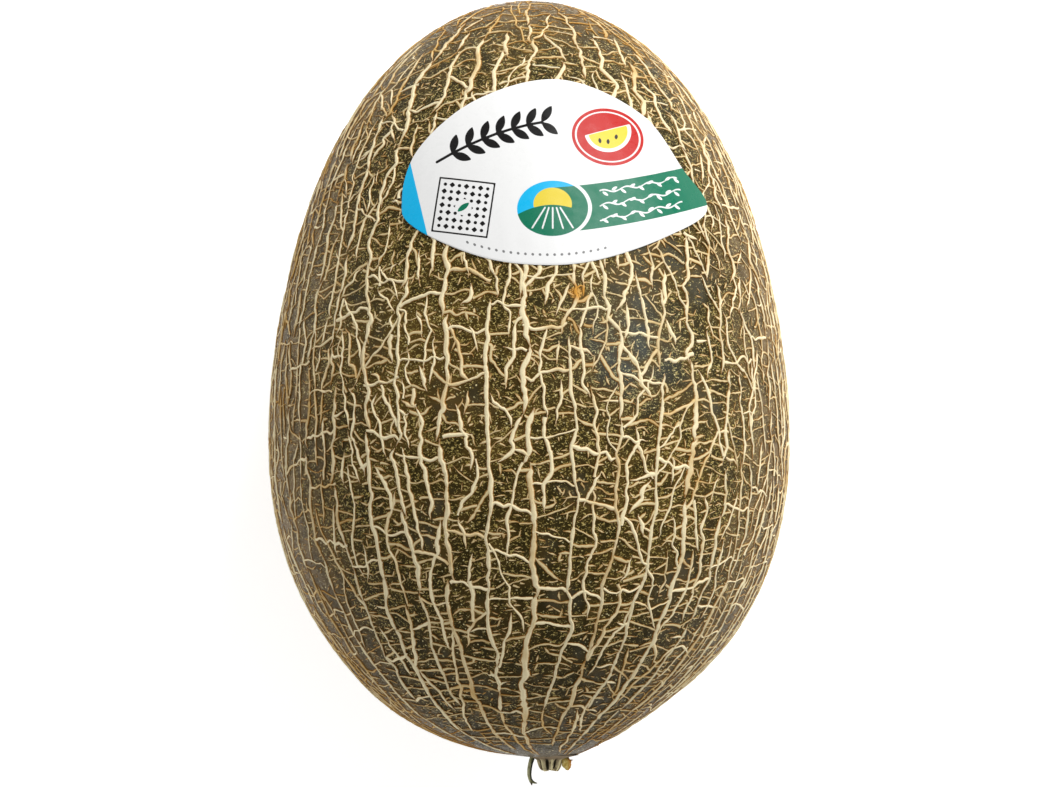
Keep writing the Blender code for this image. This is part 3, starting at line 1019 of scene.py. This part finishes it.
def ground_colour(nodes, patches, cloudy):
    """The skin between the flecks: near-black green, grey in patches of painted sheen, browner, barer, brown
    with age at the blossom end, and lighter brown low on the sides as painted sheen.
    """
    # painted sheen: scattered grey patches that stand in for reflections of the light off the wax
    dark = nodes.shade(patches, 0.56, 0.72, (45, 39, 18), (67, 64, 52))
    # painted sheen: a blue-grey patch that stands in for light reflected off the waxy skin
    dark = nodes.mix(nodes.attribute("greyed"), dark, (70, 74, 72))
    brown = nodes.plus(nodes.attribute("browned"), cloudy, 0.7)
    dark = nodes.shade(brown, 0.45, 1.05, dark, (84, 66, 32))
    dark = nodes.shade(nodes.height(), *GROUND_SPOT_HEIGHTS, dark, (150, 128, 58))
    # brown with age at the blossom end, and painted sheen low on the sides
    aged_and_sheen_brown = nodes.shade(cloudy, 0.40, 0.62, (93, 76, 50), (134, 111, 79))
    dark = nodes.mix(nodes.attribute("weathered"), dark, aged_and_sheen_brown)
    dark = nodes.mix(nodes.attribute("bare"), dark, (96, 86, 68))
    ring = nodes.plus(nodes.attribute("from_blossom"), cloudy, 0.5)
    dark = nodes.shade(ring, 0.95, 0.80, dark, (168, 140, 92))
    return nodes.shade(ring, 0.62, 0.52, dark, (84, 62, 36))


def flecked(nodes, ground, here, patches, fine, finer):
    """The ground with olive-yellow flecks, fewer in the places named below, and with small round spots."""
    # fewer flecks where the patches of painted sheen are
    thinned = nodes.plus(fine, nodes.between(patches, 0.50, 0.72), -0.08)
    # flecks thin out where the skin is bare, sparse or brown with age, and under painted sheen
    for name, share in (("bare", 0.12), ("sparse", 0.032), ("weathered", 0.05), ("greyed", 0.03)):
        thinned = nodes.plus(thinned, nodes.attribute(name), -share)
    fleck = nodes.shade(finer, 0.38, 0.62, (122, 102, 50), (188, 169, 106))
    # the flecks turn grey too under the painted sheen
    fleck = nodes.mix(nodes.attribute("greyed"), fleck, (150, 150, 118))
    colour = nodes.shade(thinned, 0.550, 0.615, ground, fleck)
    spots = nodes.between(nodes.dots(here, 620.0), 0.20, 0.13)
    spots = nodes.maths("MULTIPLY", spots, nodes.between(finer, 0.42, 0.55))
    return nodes.mix(spots, colour, (210, 196, 146))


def rind_material():
    """Waxy skin thick with fine flecks, with a ragged orange scar."""
    nodes = Nodes("rind")
    here = nodes.object_place()
    # the patches mark where painted sheen greys the skin
    patches = nodes.noise(here, 46.0)
    cloudy = nodes.noise(here, 130.0, 3.0, 0.4)
    fine = nodes.noise(nodes.object_place((1.0, 1.5, 1.0)), 1060.0, 1.6, 1.3, 0.55)
    finer = nodes.noise(here, 2300.0, 1.0)
    colour = flecked(nodes, ground_colour(nodes, patches, cloudy), here, patches, fine, finer)
    scar = nodes.shade(finer, 0.42, 0.58, (140, 94, 40), (204, 158, 84))
    ragged = nodes.plus(nodes.attribute("scarred"), nodes.maths("SUBTRACT", fine, 0.5), 1.2)
    colour = nodes.shade(ragged, 0.32, 0.78, colour, scar)
    relief = nodes.plus(fine, finer, 0.4)
    waxy = {"IOR": 1.40, "Specular_IOR_Level": 0.20, "Specular_Tint": (0.90, 0.74, 0.44, 1.0)}
    return nodes.finish(colour, nodes.between(fine, 0.9, 0.1), relief, 0.0003, 0.5, **waxy)


def cork_material(name, pale, warm):
    """Dry cork: pale on the crest, orange-brown where it runs down into the skin, stained by the scar."""
    nodes = Nodes(name)
    here = nodes.object_place()
    grain = nodes.noise(here, 1500.0, 3.0, 0.3, 0.65)
    tone = nodes.plus(nodes.noise(here, 90.0), nodes.attribute("tone"), 0.38)
    shaded = nodes.plus(nodes.attribute("crest"), nodes.maths("SUBTRACT", grain, 0.5), 0.6)
    body = nodes.shade(tone, 0.70, 1.15, pale, warm)
    body = nodes.shade(nodes.attribute("stained"), 0.25, 0.95, body, (204, 148, 68))
    colour = nodes.shade(shaded, 0.10, 0.62, (138, 90, 30), body)
    return nodes.finish(colour, 0.85, grain, 0.0003, 0.6, Specular_IOR_Level=0.05)


# Rind and net
def dress(made, node):
    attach(made, "root")
    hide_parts(node)


def rind(hollowness, crowding):
    """The skin under the net: a fine mesh with slight hollows, flat where it lies on the floor."""
    arc = np.linspace(POLE_HOLE, SKIN_LENGTH - POLE_HOLE, RIND_ROWS)
    around = np.linspace(-math.pi, math.pi, RIND_COLUMNS, endpoint=False)
    arcs, arounds = (grid.ravel() for grid in np.meshgrid(arc, around, indexing="ij"))
    at_blossom = step_between(arcs, SKIN_LENGTH - 0.030, SKIN_LENGTH - 0.004)
    hollows = hollowness(arcs, arounds)
    points = skin(arcs, arounds, RIND_HOLLOWS * hollows - RIND_SINK * (1.0 + at_blossom))
    points[:, 2] = np.maximum(points[:, 2], RIND_FLAT_LIFT)
    made = mesh_object("rind", points, grid_faces(RIND_ROWS, RIND_COLUMNS, True), rind_material())
    crackled = spot(*CRACKLED_SPOT)(arcs, arounds)
    uneven = 0.8 + 0.3 * hollows
    patches = {
        "browned": crowding(arcs, arounds) + 0.35 * age_at(arcs, arounds) + 0.22 * crackled,
        "sparse": 1.25 * (1.0 - step_between(arcs, 0.050, 0.140)) + 1.8 * blossom_end(arcs),
        "from_blossom": np.minimum(SKIN_LENGTH - arcs, 0.05) / BLOSSOM_SCAR,
        # brown with age at the blossom end, and painted sheen low on the sides
        "weathered": weathered(arcs, arounds),
        "bare": 1.0 - step_between(arcs + 0.003 * hollows, *BARE_STEM_RING),
        # a blue-grey painted sheen right of the middle, where light is reflected off the waxy skin
        "greyed": np.clip(spot(*PAINTED_SHEEN_SPOT)(arcs, arounds) * uneven, 0.0, 0.85),
        "scarred": np.clip(1.4 * spot(*SCAR_SPOT)(arcs, arounds) * uneven, 0.0, 1.0),
    }
    for name, values in patches.items():
        put_values(made.data, name, values)
    put_map(made.data, np.stack([(arounds / math.tau) + 0.5, arcs / SKIN_LENGTH], 1))
    dress(made, "fruit")


def net_pieces(cracks, pressed_flat):
    """All cracks, as one piece for each kind or each kind's left and right half."""
    draw = random.Random(GROWTH_SEED + 1)
    cork = cork_material("cork", (234, 220, 180), (202, 168, 108))
    thin_cork = cork_material("thin_cork", (213, 194, 147), (182, 146, 88))

    def half(kind, way):
        return [crack for crack in cracks[kind] if way * math.sin(crack.around[0]) >= 0.0]

    groups = (
        ("net_lines", cracks["strong"], SPLIT_RIB, LINE_RIB_STEP, cork),
        ("net_between_lines", cracks["between"], ROUND_RIB, LINE_RIB_STEP, cork),
        ("net_ladder", cracks["ladder"], ROUND_RIB, LINE_RIB_STEP, cork),
        ("net_rungs_left", half("cross", -1), FINE_RIB, CROSS_RIB_STEP, thin_cork),
        ("net_rungs_right", half("cross", 1), FINE_RIB, CROSS_RIB_STEP, thin_cork),
        ("net_twigs_left", half("fine", -1), FINE_RIB, TWIG_RIB_STEP, thin_cork),
        ("net_twigs_right", half("fine", 1), FINE_RIB, TWIG_RIB_STEP, thin_cork),
    )
    for name, members, section, spacing, material in groups:
        made = ribbon_object(name, members, section, spacing, draw, pressed_flat, material)
        dress(made, "fruit")


# Sticker
def smooth_outline(corners, points_each):
    """A closed curve through the corners, each stretch a Catmull-Rom span."""
    corners = np.array(corners)
    part = np.arange(points_each)[:, None] / points_each
    outline = []
    for i in range(len(corners)):
        before, start, end, after = (corners[(i + k) % len(corners)] for k in (-1, 0, 1, 2))
        bend = (2 * before - 5 * start + 4 * end - after) * part**2
        twist = (3 * start - before - 3 * end + after) * part**3
        outline.append(0.5 * (2 * start + (end - before) * part + bend + twist))
    return np.concatenate(outline)


def label_edges(x):
    """How low and how high the sticker reaches at each x across it, and where its two ends are."""
    outline = smooth_outline(LABEL_CORNERS, LABEL_CURVE_POINTS)
    first, last = outline[:, 0].argmin(), outline[:, 0].argmax()
    upper = np.roll(outline, -first, axis=0)[: (last - first) % len(outline) + 1]
    lower = np.roll(outline, -last, axis=0)[: (first - last) % len(outline) + 1][::-1]
    upper_y = np.interp(x, np.maximum.accumulate(upper[:, 0]), upper[:, 1])
    lower_y = np.interp(x, np.maximum.accumulate(lower[:, 0]), lower[:, 1])
    return lower_y, upper_y, outline[first, 0], outline[last, 0]


def under_sticker(arc, around):
    """Whether these places of the skin lie under the sticker or just beside it."""
    places = skin(arc, around)
    x, y = places[:, 0] - LABEL_CENTRE[0], places[:, 1] - LABEL_CENTRE[1]
    low, high, left, right = label_edges(x)
    beside = (y > low - LABEL_MARGIN) & (y < high + LABEL_MARGIN) & (x > left) & (x < right)
    return beside & (np.cos(around) > 0)


# Shapes of the print, each as the distance outside it, below zero inside it
def turned(x, y, middle, turn):
    """These places as seen from a frame at this middle, turned by this angle."""
    right, up = x - middle[0], y - middle[1]
    return right * math.cos(turn) + up * math.sin(turn), up * math.cos(turn) - right * math.sin(turn)


def oval(x, y, middle, half_wide, half_high, turn=0.0):
    across, up = turned(x, y, middle, turn)
    return (np.hypot(across / half_wide, up / half_high) - 1.0) * min(half_wide, half_high)


def stroke(x, y, start, end, half):
    """A round-ended bar."""
    run, rise = end[0] - start[0], end[1] - start[1]
    part = np.clip(((x - start[0]) * run + (y - start[1]) * rise) / (run * run + rise * rise), 0.0, 1.0)
    return np.hypot(x - start[0] - part * run, y - start[1] - part * rise) - half


def leaf(x, y, start, end, half):
    """A leaf that is pointed at both ends."""
    length = math.hypot(end[0] - start[0], end[1] - start[1])
    run, rise = (end[0] - start[0]) / length, (end[1] - start[1]) / length
    part = ((x - start[0]) * run + (y - start[1]) * rise) / length
    side = np.abs((y - start[1]) * run - (x - start[0]) * rise)
    inside = side - half * 4.0 * part * (1.0 - part)
    return np.where((part < 0) | (part > 1), np.maximum(inside, 0.001), inside)


def nearest(shapes):
    return np.minimum.reduce(shapes)


def band_course(x):
    """The height of the green band's middle across the sticker."""
    return -0.0108 + 0.10 * (x - 0.003) + 3.0 * (x - 0.003) ** 2


def field_under_sun(x, y):
    """A small round picture: its sky, its ground, a white rim with white furrows, and the sun."""
    sky = oval(x, y, BADGE, 0.0104, 0.0083, BADGE_TURN)
    ground = np.maximum(sky, y - BADGE[1] - 0.0010 + 28.0 * (x - BADGE[0]) ** 2)
    white = [np.abs(oval(x, y, BADGE, 0.0109, 0.0088, BADGE_TURN)) - 0.00045]
    for furrow in range(-2, 3):
        top = (BADGE[0] + 0.0011 * furrow, BADGE[1] + 0.0002)
        bottom = (BADGE[0] + 0.0030 * furrow, BADGE[1] - 0.0060)
        white.append(np.maximum(stroke(x, y, top, bottom, 0.00024), sky + 0.0006))
    sun = np.maximum(oval(x, y, (BADGE[0], BADGE[1] + 0.0012), 0.0056, 0.0050), -ground)
    return sky, ground, nearest(white), sun


def melon_slice(x, y):
    """A melon slice on an oval: the oval, the white of ring and peel, the flesh, and the seeds."""
    red = oval(x, y, DISC, 0.0108, 0.0090, DISC_TURN)
    ring = np.abs(oval(x, y, DISC, 0.0096, 0.0078, DISC_TURN)) - 0.00022
    middle = (DISC[0], DISC[1] + 0.0018)
    below = turned(x, y, DISC, SLICE_TURN)[1] - 0.0022
    peel = np.maximum(oval(x, y, middle, 0.0071, 0.0066, SLICE_TURN), below)
    flesh = np.maximum(oval(x, y, middle, 0.0060, 0.0055, SLICE_TURN), below + 0.0002)
    seeds = []
    for number, drop in ((-1, 0.0004), (0, 0.0006), (1, -0.0010)):
        top = (DISC[0] + 0.0026 * number, DISC[1] - drop)
        seeds.append(leaf(x, y, top, (top[0] - 0.0003 * number, top[1] - 0.0019), 0.00048))
    return red, np.minimum(ring, peel), flesh, nearest(seeds)


def vines(x, y):
    """Three swaying vines along the green band, with a leaf to each side in turn."""
    shapes = []
    for row in (-0.0041, 0.0, 0.0041):
        far = 0.0385 - 0.25 * abs(row + 0.003)
        sway = 0.0005 * np.sin(x / 0.0011 + 300.0 * row)
        vine = np.abs(y - band_course(x) - row - sway) - 0.00022
        shapes.append(np.maximum(vine, np.maximum(0.0132 - x, x - far)))
        for number in range(9):
            foot = 0.0140 + 0.0027 * number
            if foot > far - 0.001:
                break
            base = band_course(foot) + row
            way = 1 if number % 2 else -1
            shapes.append(leaf(x, y, (foot, base), (foot + 0.0019, base + way * 0.00125), 0.00042))
    return nearest(shapes)


def sprig(x, y):
    """A bent stalk with a pair of leaves at each joint."""
    joints = [(-0.0345 + 0.0044 * k, 0.0040 + 0.0026 * k - 0.00013 * k * k) for k in range(8)]
    shapes = []
    for start, end in zip(joints, joints[1:]):
        shapes.append(stroke(x, y, start, end, 0.00042))
        for way in (-1, 1):
            turn = math.atan2(end[1] - start[1], end[0] - start[0]) + way * 0.85
            point = (end[0] + 0.0062 * math.cos(turn), end[1] + 0.0062 * math.sin(turn))
            shapes.append(leaf(x, y, end, point, 0.00125))
    return nearest(shapes)


def panel(x, y):
    """A framed square of dots and diamonds, and the leaf in its middle."""
    across, up = turned(x, y, PANEL, PANEL_TURN)
    column, row = np.round(across / PANEL_CELL), np.round(up / PANEL_CELL)
    tile_x, tile_y = across - PANEL_CELL * column, up - PANEL_CELL * row
    diamond = np.abs(tile_x) + np.abs(tile_y) - 0.00088
    dot = np.hypot(tile_x, tile_y) - 0.00052
    outward = np.maximum(np.abs(across), np.abs(up))
    kept_off_leaf = 0.0024 - np.hypot(across, up)
    tiles = np.where((column + row) % 2 > 0, diamond, dot)
    tiles = np.maximum(tiles, np.maximum(outward - 3.5 * PANEL_CELL, kept_off_leaf))
    border = np.abs(outward - 0.0081) - 0.00025
    return np.minimum(tiles, border), leaf(across, up, (-0.0016, -0.0016), (0.0016, 0.0016), 0.0008)


def beads(x, y):
    """A row of small dots along the sticker's lower edge."""
    low_edge, _, _, _ = label_edges(x)
    bead = x - BEAD_SPACING * np.round(x / BEAD_SPACING)
    row = np.hypot(bead, y - low_edge - 0.0030) - 0.00042
    return np.maximum(row, np.maximum(-0.0260 - x, x - 0.0160))


def prints(x, y):
    """The sticker's generic print, one layer for each colour in the order that they go on."""
    sky, ground, rim, sun = field_under_sun(x, y)
    disc, ring_and_peel, flesh, seeds = melon_slice(x, y)
    tiles, panel_leaf = panel(x, y)
    corner = x + 0.0405 + 0.25 * (y + 0.004)
    band = np.maximum(np.abs(y - band_course(x)) - 0.0068, BADGE[0] - x)
    return {
        "blue": np.minimum(sky, corner),
        "green": nearest([band, ground, panel_leaf]),
        "red": disc,
        "white": nearest([rim, ring_and_peel, vines(x, y)]),
        "yellow": np.minimum(sun, flesh),
        "dark": nearest([seeds, sprig(x, y), tiles]),
        "grey": beads(x, y),
    }


def label_material():
    """Coated white paper, its print laid on colour by colour."""
    nodes = Nodes("sticker")
    colour = PAPER
    for name, ink in INKS.items():
        colour = nodes.shade(nodes.attribute("ink_" + name), PRINT_EDGE, -PRINT_EDGE, colour, ink)
    fibres = nodes.noise(nodes.object_place(), 420.0)
    roughness = nodes.between(fibres, -0.6, 2.4)
    return nodes.finish(colour, roughness, fibres, 0.00008, 0.3, Specular_IOR_Level=0.2)


def label(crowding):
    """The sticker as one thin sheet that lies on the net and shows it a little, with a turned-down edge."""
    _, _, left, right = label_edges(np.zeros(1))
    part = np.linspace(0.0, 1.0, LABEL_COLUMNS)
    part = 0.8 * part + 0.2 * (0.5 - 0.5 * np.cos(math.pi * part))
    x = left + (right - left) * (0.0006 + 0.9988 * part)
    low, high, _, _ = label_edges(x)
    up = np.linspace(0.0, 1.0, LABEL_ROWS)
    grid_x = np.repeat(x[:, None], LABEL_ROWS, 1)
    grid_y = low[:, None] + (high - low)[:, None] * up[None, :]
    arc, around = seen_from_above(LABEL_CENTRE[0] + grid_x, LABEL_CENTRE[1] + grid_y)
    lift = LABEL_LIFT + LABEL_SWELL * crowding(arc, around)
    lift[[0, -1], :] -= LABEL_EDGE_DROP
    lift[1:-1, [0, -1]] -= LABEL_EDGE_DROP
    points = skin(arc.ravel(), around.ravel(), lift.ravel())
    faces = grid_faces(LABEL_COLUMNS, LABEL_ROWS, False)[:, ::-1]
    made = mesh_object("label_sheet", points, faces, label_material())
    x, y = grid_x.ravel(), grid_y.ravel()
    for name, distance in prints(x, y).items():
        put_values(made.data, "ink_" + name, np.clip(distance, -PRINT_REACH, PRINT_REACH))
    put_map(made.data, np.stack([x + LABEL_MAP_START, y + LABEL_MAP_START], 1) / LABEL_MAP_SIZE)
    dress(made, "label")


# Stem end
def from_stem_pole(parts):
    """Points measured from the stem pole of the upright fruit, joined and laid down with it."""
    return laid_down(np.concatenate(parts) + np.array(STEM_POLE))


def stub_material():
    """Dry stalk: painted highlights on the ridges, painted shade in the grooves, brown fibres and a paler
    cut face.
    """
    nodes = Nodes("cut_stalk")
    fibre = nodes.noise(nodes.object_place((1.0, 0.25, 1.0)), 2600.0)
    mottle = nodes.noise(nodes.object_place(), 500.0)
    out = nodes.attribute("out")
    colour = nodes.shade(mottle, 0.35, 0.65, (140, 124, 96), (206, 192, 150))
    colour = nodes.shade(out, 0.30, 0.0, colour, (128, 110, 84))
    # painted highlight on the rib tops and painted shade in the grooves, where light and shade fall on the
    # ribbed stalk
    colour = nodes.shade(nodes.attribute("ridge"), 0.25, 0.80, colour, (228, 216, 166))
    colour = nodes.shade(nodes.attribute("groove"), 0.12, 0.55, colour, (36, 32, 14))
    colour = nodes.shade(out, 1.0, 1.25, colour, (176, 158, 112))
    colour = nodes.shade(fibre, 0.56, 0.74, colour, (90, 76, 46))
    return nodes.finish(colour, 0.8, fibre, 0.00025, 0.7, IOR=1.35)


def stub():
    """The cut stub: ribs that flare into the rind, with painted shade in their grooves and painted
    highlights on their ridges, and a rough cut face.
    """
    draw = random.Random(STUB_SEED)
    angle = np.linspace(0.0, math.tau, STUB_SIDES, endpoint=False)
    wave = np.cos(STUB_RIBS * angle + 0.7 * np.sin(2.0 * angle + 0.6) + 0.4 * np.sin(5.0 * angle))
    # the grooves shape the ribs and carry painted shade; the rib tops carry a painted highlight
    groove = np.clip(-wave, 0.0, 1.0) ** 1.5
    ridge = np.clip(wave, 0.0, 1.0) ** 2
    ragged = 0.00022 * wave + 0.00030 * np.sin(3.0 * angle + 1.0) + 0.00012 * np.sin(11.0 * angle)
    outline_t, outline_r = zip(*STUB_OUTLINE)
    points, grooves, ridges, out = [], [], [], []
    for t in np.linspace(outline_t[0], 1.0, STUB_RINGS):
        depth = max(0.0, min(1.0, (t + 0.14) / 0.5))
        radius = np.interp(t, outline_t, outline_r) * (1.0 + 0.075 * depth * wave - 0.20 * depth * groove)
        away = STUB_LENGTH * t + ragged * max(0.0, t) ** 3
        points.append(np.stack([radius * np.cos(angle), -away, radius * np.sin(angle)], 1))
        grooves.append(groove * depth)
        ridges.append(ridge * depth)
        out.append(np.full(STUB_SIDES, max(0.0, t)))
    rim = points[-1]
    for inward in STUB_FACE_RINGS:
        rough = np.array([draw.uniform(-0.00012, 0.00012) for _ in range(STUB_SIDES)])
        ring = rim * (inward, 1.0, inward)
        ring[:, 1] += 0.00035 * (1.0 - inward) + rough * inward
        points.append(ring)
        # the grooves' painted shade, carried onto the cut face's rim
        grooves.append(groove * 0.5 * inward)
        ridges.append(0.0 * ridge)
        out.append(np.full(STUB_SIDES, 1.3))
    faces = grid_faces(len(points), STUB_SIDES, True)[:, ::-1]
    made = mesh_object("stub", from_stem_pole(points), faces, stub_material())
    put_values(made.data, "groove", np.concatenate(grooves))
    put_values(made.data, "out", np.concatenate(out))
    put_values(made.data, "ridge", np.concatenate(ridges))
    dress(made, "stem_stub")


def tube(route, sides):
    """Rings of points round a smooth route of places and radii, a little ribbed, its ends nearly closed."""
    route = np.array(route)
    steps = np.linspace(0, len(route) - 1, 8 * (len(route) - 1) + 1)
    x, y, z, radius = (np.interp(steps, range(len(route)), values) for values in route.T)
    centre = np.stack([x, y, z], 1)
    for _ in range(6):
        centre[1:-1] = 0.25 * centre[:-2] + 0.5 * centre[1:-1] + 0.25 * centre[2:]
    ahead = np.gradient(centre, axis=0)
    ahead /= np.linalg.norm(ahead, axis=1)[:, None]
    side = np.cross(ahead, (0.0, 0.0, 1.0))
    side /= np.linalg.norm(side, axis=1)[:, None]
    top = np.cross(side, ahead)
    angle = np.linspace(0.0, math.tau, sides, endpoint=False)
    reach = radius[:, None] * (1.0 + 0.10 * np.cos(5.0 * angle))
    across, up = reach * np.cos(angle), reach * np.sin(angle)
    rings = centre[:, None] + across[:, :, None] * side[:, None] + up[:, :, None] * top[:, None]
    faces = grid_faces(len(centre), sides, True)
    part = np.repeat(steps / steps[-1], sides)
    return rings.reshape(-1, 3), faces, part, np.tile(np.cos(angle), len(centre))


def tendril_material():
    """Streaky green-grey, dark on its shaded side, brown toward the tips."""
    nodes = Nodes("tendril")
    streaks = nodes.noise(nodes.object_place((1.6, 0.3, 1.6)), 1500.0)
    colour = nodes.shade(streaks, 0.36, 0.62, (104, 106, 62), (186, 184, 138))
    colour = nodes.shade(nodes.attribute("to_side"), 0.10, -0.45, colour, (32, 34, 16))
    colour = nodes.shade(nodes.attribute("part"), 0.72, 1.0, colour, (62, 50, 30))
    return nodes.finish(colour, 0.6, streaks, 0.0002, 0.6)


def tendril():
    """A dried tendril beside the stub, forked at its hooked end."""
    points, faces, parts, sideways = [], [], [], []
    base = 0
    for route in (TENDRIL_MAIN, TENDRIL_HOOK):
        rings, quads, part, to_side = tube(route, TENDRIL_SIDES)
        points.append(rings)
        faces.append(quads + base)
        parts.append(part)
        sideways.append(to_side)
        base += len(rings)
    made = mesh_object("tendril_forked", from_stem_pole(points), np.concatenate(faces), tendril_material())
    put_values(made.data, "part", np.concatenate(parts))
    put_values(made.data, "to_side", np.concatenate(sideways))
    dress(made, "tendril")


def bract_material():
    """Straw yellow with creases, browner along one side and dark at the tip, with painted shade where it
    leaves the rind under the fruit's edge.
    """
    nodes = Nodes("bract")
    creases = nodes.noise(nodes.object_place((1.0, 0.5, 1.0)), 1300.0, 4.0, 0.5)
    colour = nodes.shade(creases, 0.35, 0.65, (200, 170, 78), (250, 232, 156))
    brown = nodes.plus(nodes.attribute("browning"), creases, 0.4)
    colour = nodes.shade(brown, 0.75, 1.2, colour, (204, 138, 48))
    colour = nodes.shade(brown, 1.3, 1.9, colour, (84, 58, 30))
    # painted shade near the base, where the fruit's edge overhangs the bract
    colour = nodes.shade(nodes.attribute("shade"), 0.72, 1.0, colour, (96, 90, 42))
    return nodes.finish(colour, 0.7, creases, 0.0004, 0.8)


def bract():
    """A withered bract: a crumpled little cup with a pointed tip to its side."""
    turn = np.linspace(0.0, math.tau, BRACT_COLUMNS, endpoint=False)[None, :]
    part = np.linspace(0.0, 1.0, BRACT_ROWS)[:, None]
    swell = np.sin(math.pi * np.clip(0.08 + 0.92 * part, 0, 1)) ** 0.6
    folds = 1.0 + 0.20 * np.sin(5 * turn + 7 * part) + 0.13 * np.sin(9 * turn - 11 * part)
    half = BRACT_HALF * swell * folds
    cup_x = BRACT_X + half * np.cos(turn) + 0.0007 * part
    cup_y = 0.0005 - BRACT_LENGTH * part + 0.0 * turn
    cup_z = 0.0001 + 0.62 * half * np.sin(turn) + 0.0002 * np.sin(6 * part)
    cup = np.stack([cup_x, cup_y, cup_z], -1).reshape(-1, 3)
    out = np.linspace(0.0, 1.0, BRACT_TIP_ROWS)[:, None]
    radius = 0.00050 * (1.0 - out) + 0.00003
    tip_x = BRACT_X + 0.0009 + 0.0019 * out + 0.6 * radius * np.cos(turn)
    tip_y = -0.0008 + 0.0002 * out + 0.8 * radius * np.cos(turn)
    tip_z = 0.0003 + 0.0002 * out + radius * np.sin(turn)
    tip = np.stack([tip_x, tip_y, tip_z], -1).reshape(-1, 3)
    cup_faces = grid_faces(BRACT_ROWS, BRACT_COLUMNS, True)
    tip_faces = grid_faces(BRACT_TIP_ROWS, BRACT_COLUMNS, True) + len(cup)
    faces = np.concatenate([cup_faces, tip_faces])
    made = mesh_object("bract_dry", from_stem_pole([cup, tip]), faces, bract_material())
    cup_browning = 0.5 + 0.5 * np.cos(turn) + 0.0 * part
    tip_browning = 1.0 + out + 0.0 * turn
    put_values(made.data, "browning", np.concatenate([cup_browning.ravel(), tip_browning.ravel()]))
    put_values(made.data, "shade", np.concatenate([(1.0 - part + 0.0 * turn).ravel(), np.zeros(len(tip))]))
    dress(made, "dried_bract")


# Floor, light and camera
def stage():
    bpy.ops.mesh.primitive_plane_add(size=FLOOR_SIZE, location=(0.0, 0.0, -FLOOR_DROP))
    floor = bpy.context.object
    floor.name = "floor"
    glow = {"Emission_Color": FLOOR_WHITE, "Emission_Strength": FLOOR_GLOW}
    floor.data.materials.append(Nodes("floor").finish(FLOOR_WHITE, 0.9, **glow))


def lights():
    """One large soft light that faces the fruit, and an even white surround."""
    key = bpy.data.lights.new("key", "AREA")
    key.shape = "SQUARE"
    key.size = KEY_SIZE
    key.energy = KEY_POWER
    made = bpy.data.objects.new("key", key)
    made.location = KEY_PLACE
    made.rotation_euler = (Vector(KEY_AIM) - Vector(KEY_PLACE)).to_track_quat("-Z", "Y").to_euler()
    bpy.context.scene.collection.objects.link(made)
    world = bpy.data.worlds.new("surround")
    bpy.context.scene.world = world
    world.use_nodes = True
    background = world.node_tree.nodes["Background"]
    background.inputs["Color"].default_value = (1.0, 1.0, 1.0, 1.0)
    background.inputs["Strength"].default_value = SURROUND_STRENGTH
    bpy.context.scene.view_settings.view_transform = "Standard"


def camera():
    """Looks straight down, with the fruit where the photograph has it."""
    view = bpy.data.cameras.new("photo_view")
    view.sensor_width = SENSOR_WIDTH
    view.lens = SENSOR_WIDTH * CAMERA_DISTANCE / (PHOTO_WIDTH * METRES_PER_PIXEL)
    made = bpy.data.objects.new("photo_view", view)
    made.location = (CAMERA_X, CAMERA_Y, CENTRE_HEIGHT + CAMERA_DISTANCE)
    bpy.context.scene.collection.objects.link(made)
    bpy.context.scene.camera = made


def main():
    camera()
    stage()
    lights()
    cracks, lines, rungs = grow_net()
    line_crowding = lines.density(CROWDING_CELLS)
    rung_crowding = rungs.density(CROWDING_CELLS)

    def crowding(arc, around):
        return 2.2 * line_crowding(arc, around) + 1.6 * rung_crowding(arc, around)

    def pressed_flat(arc, around):
        return np.where(under_sticker(arc, around), LABEL_PRESS, 1.0)

    rind(waves(*HOLLOW_WAVES), crowding)
    net_pieces(cracks, pressed_flat)
    label(line_crowding)
    stub()
    tendril()
    bract()


main()
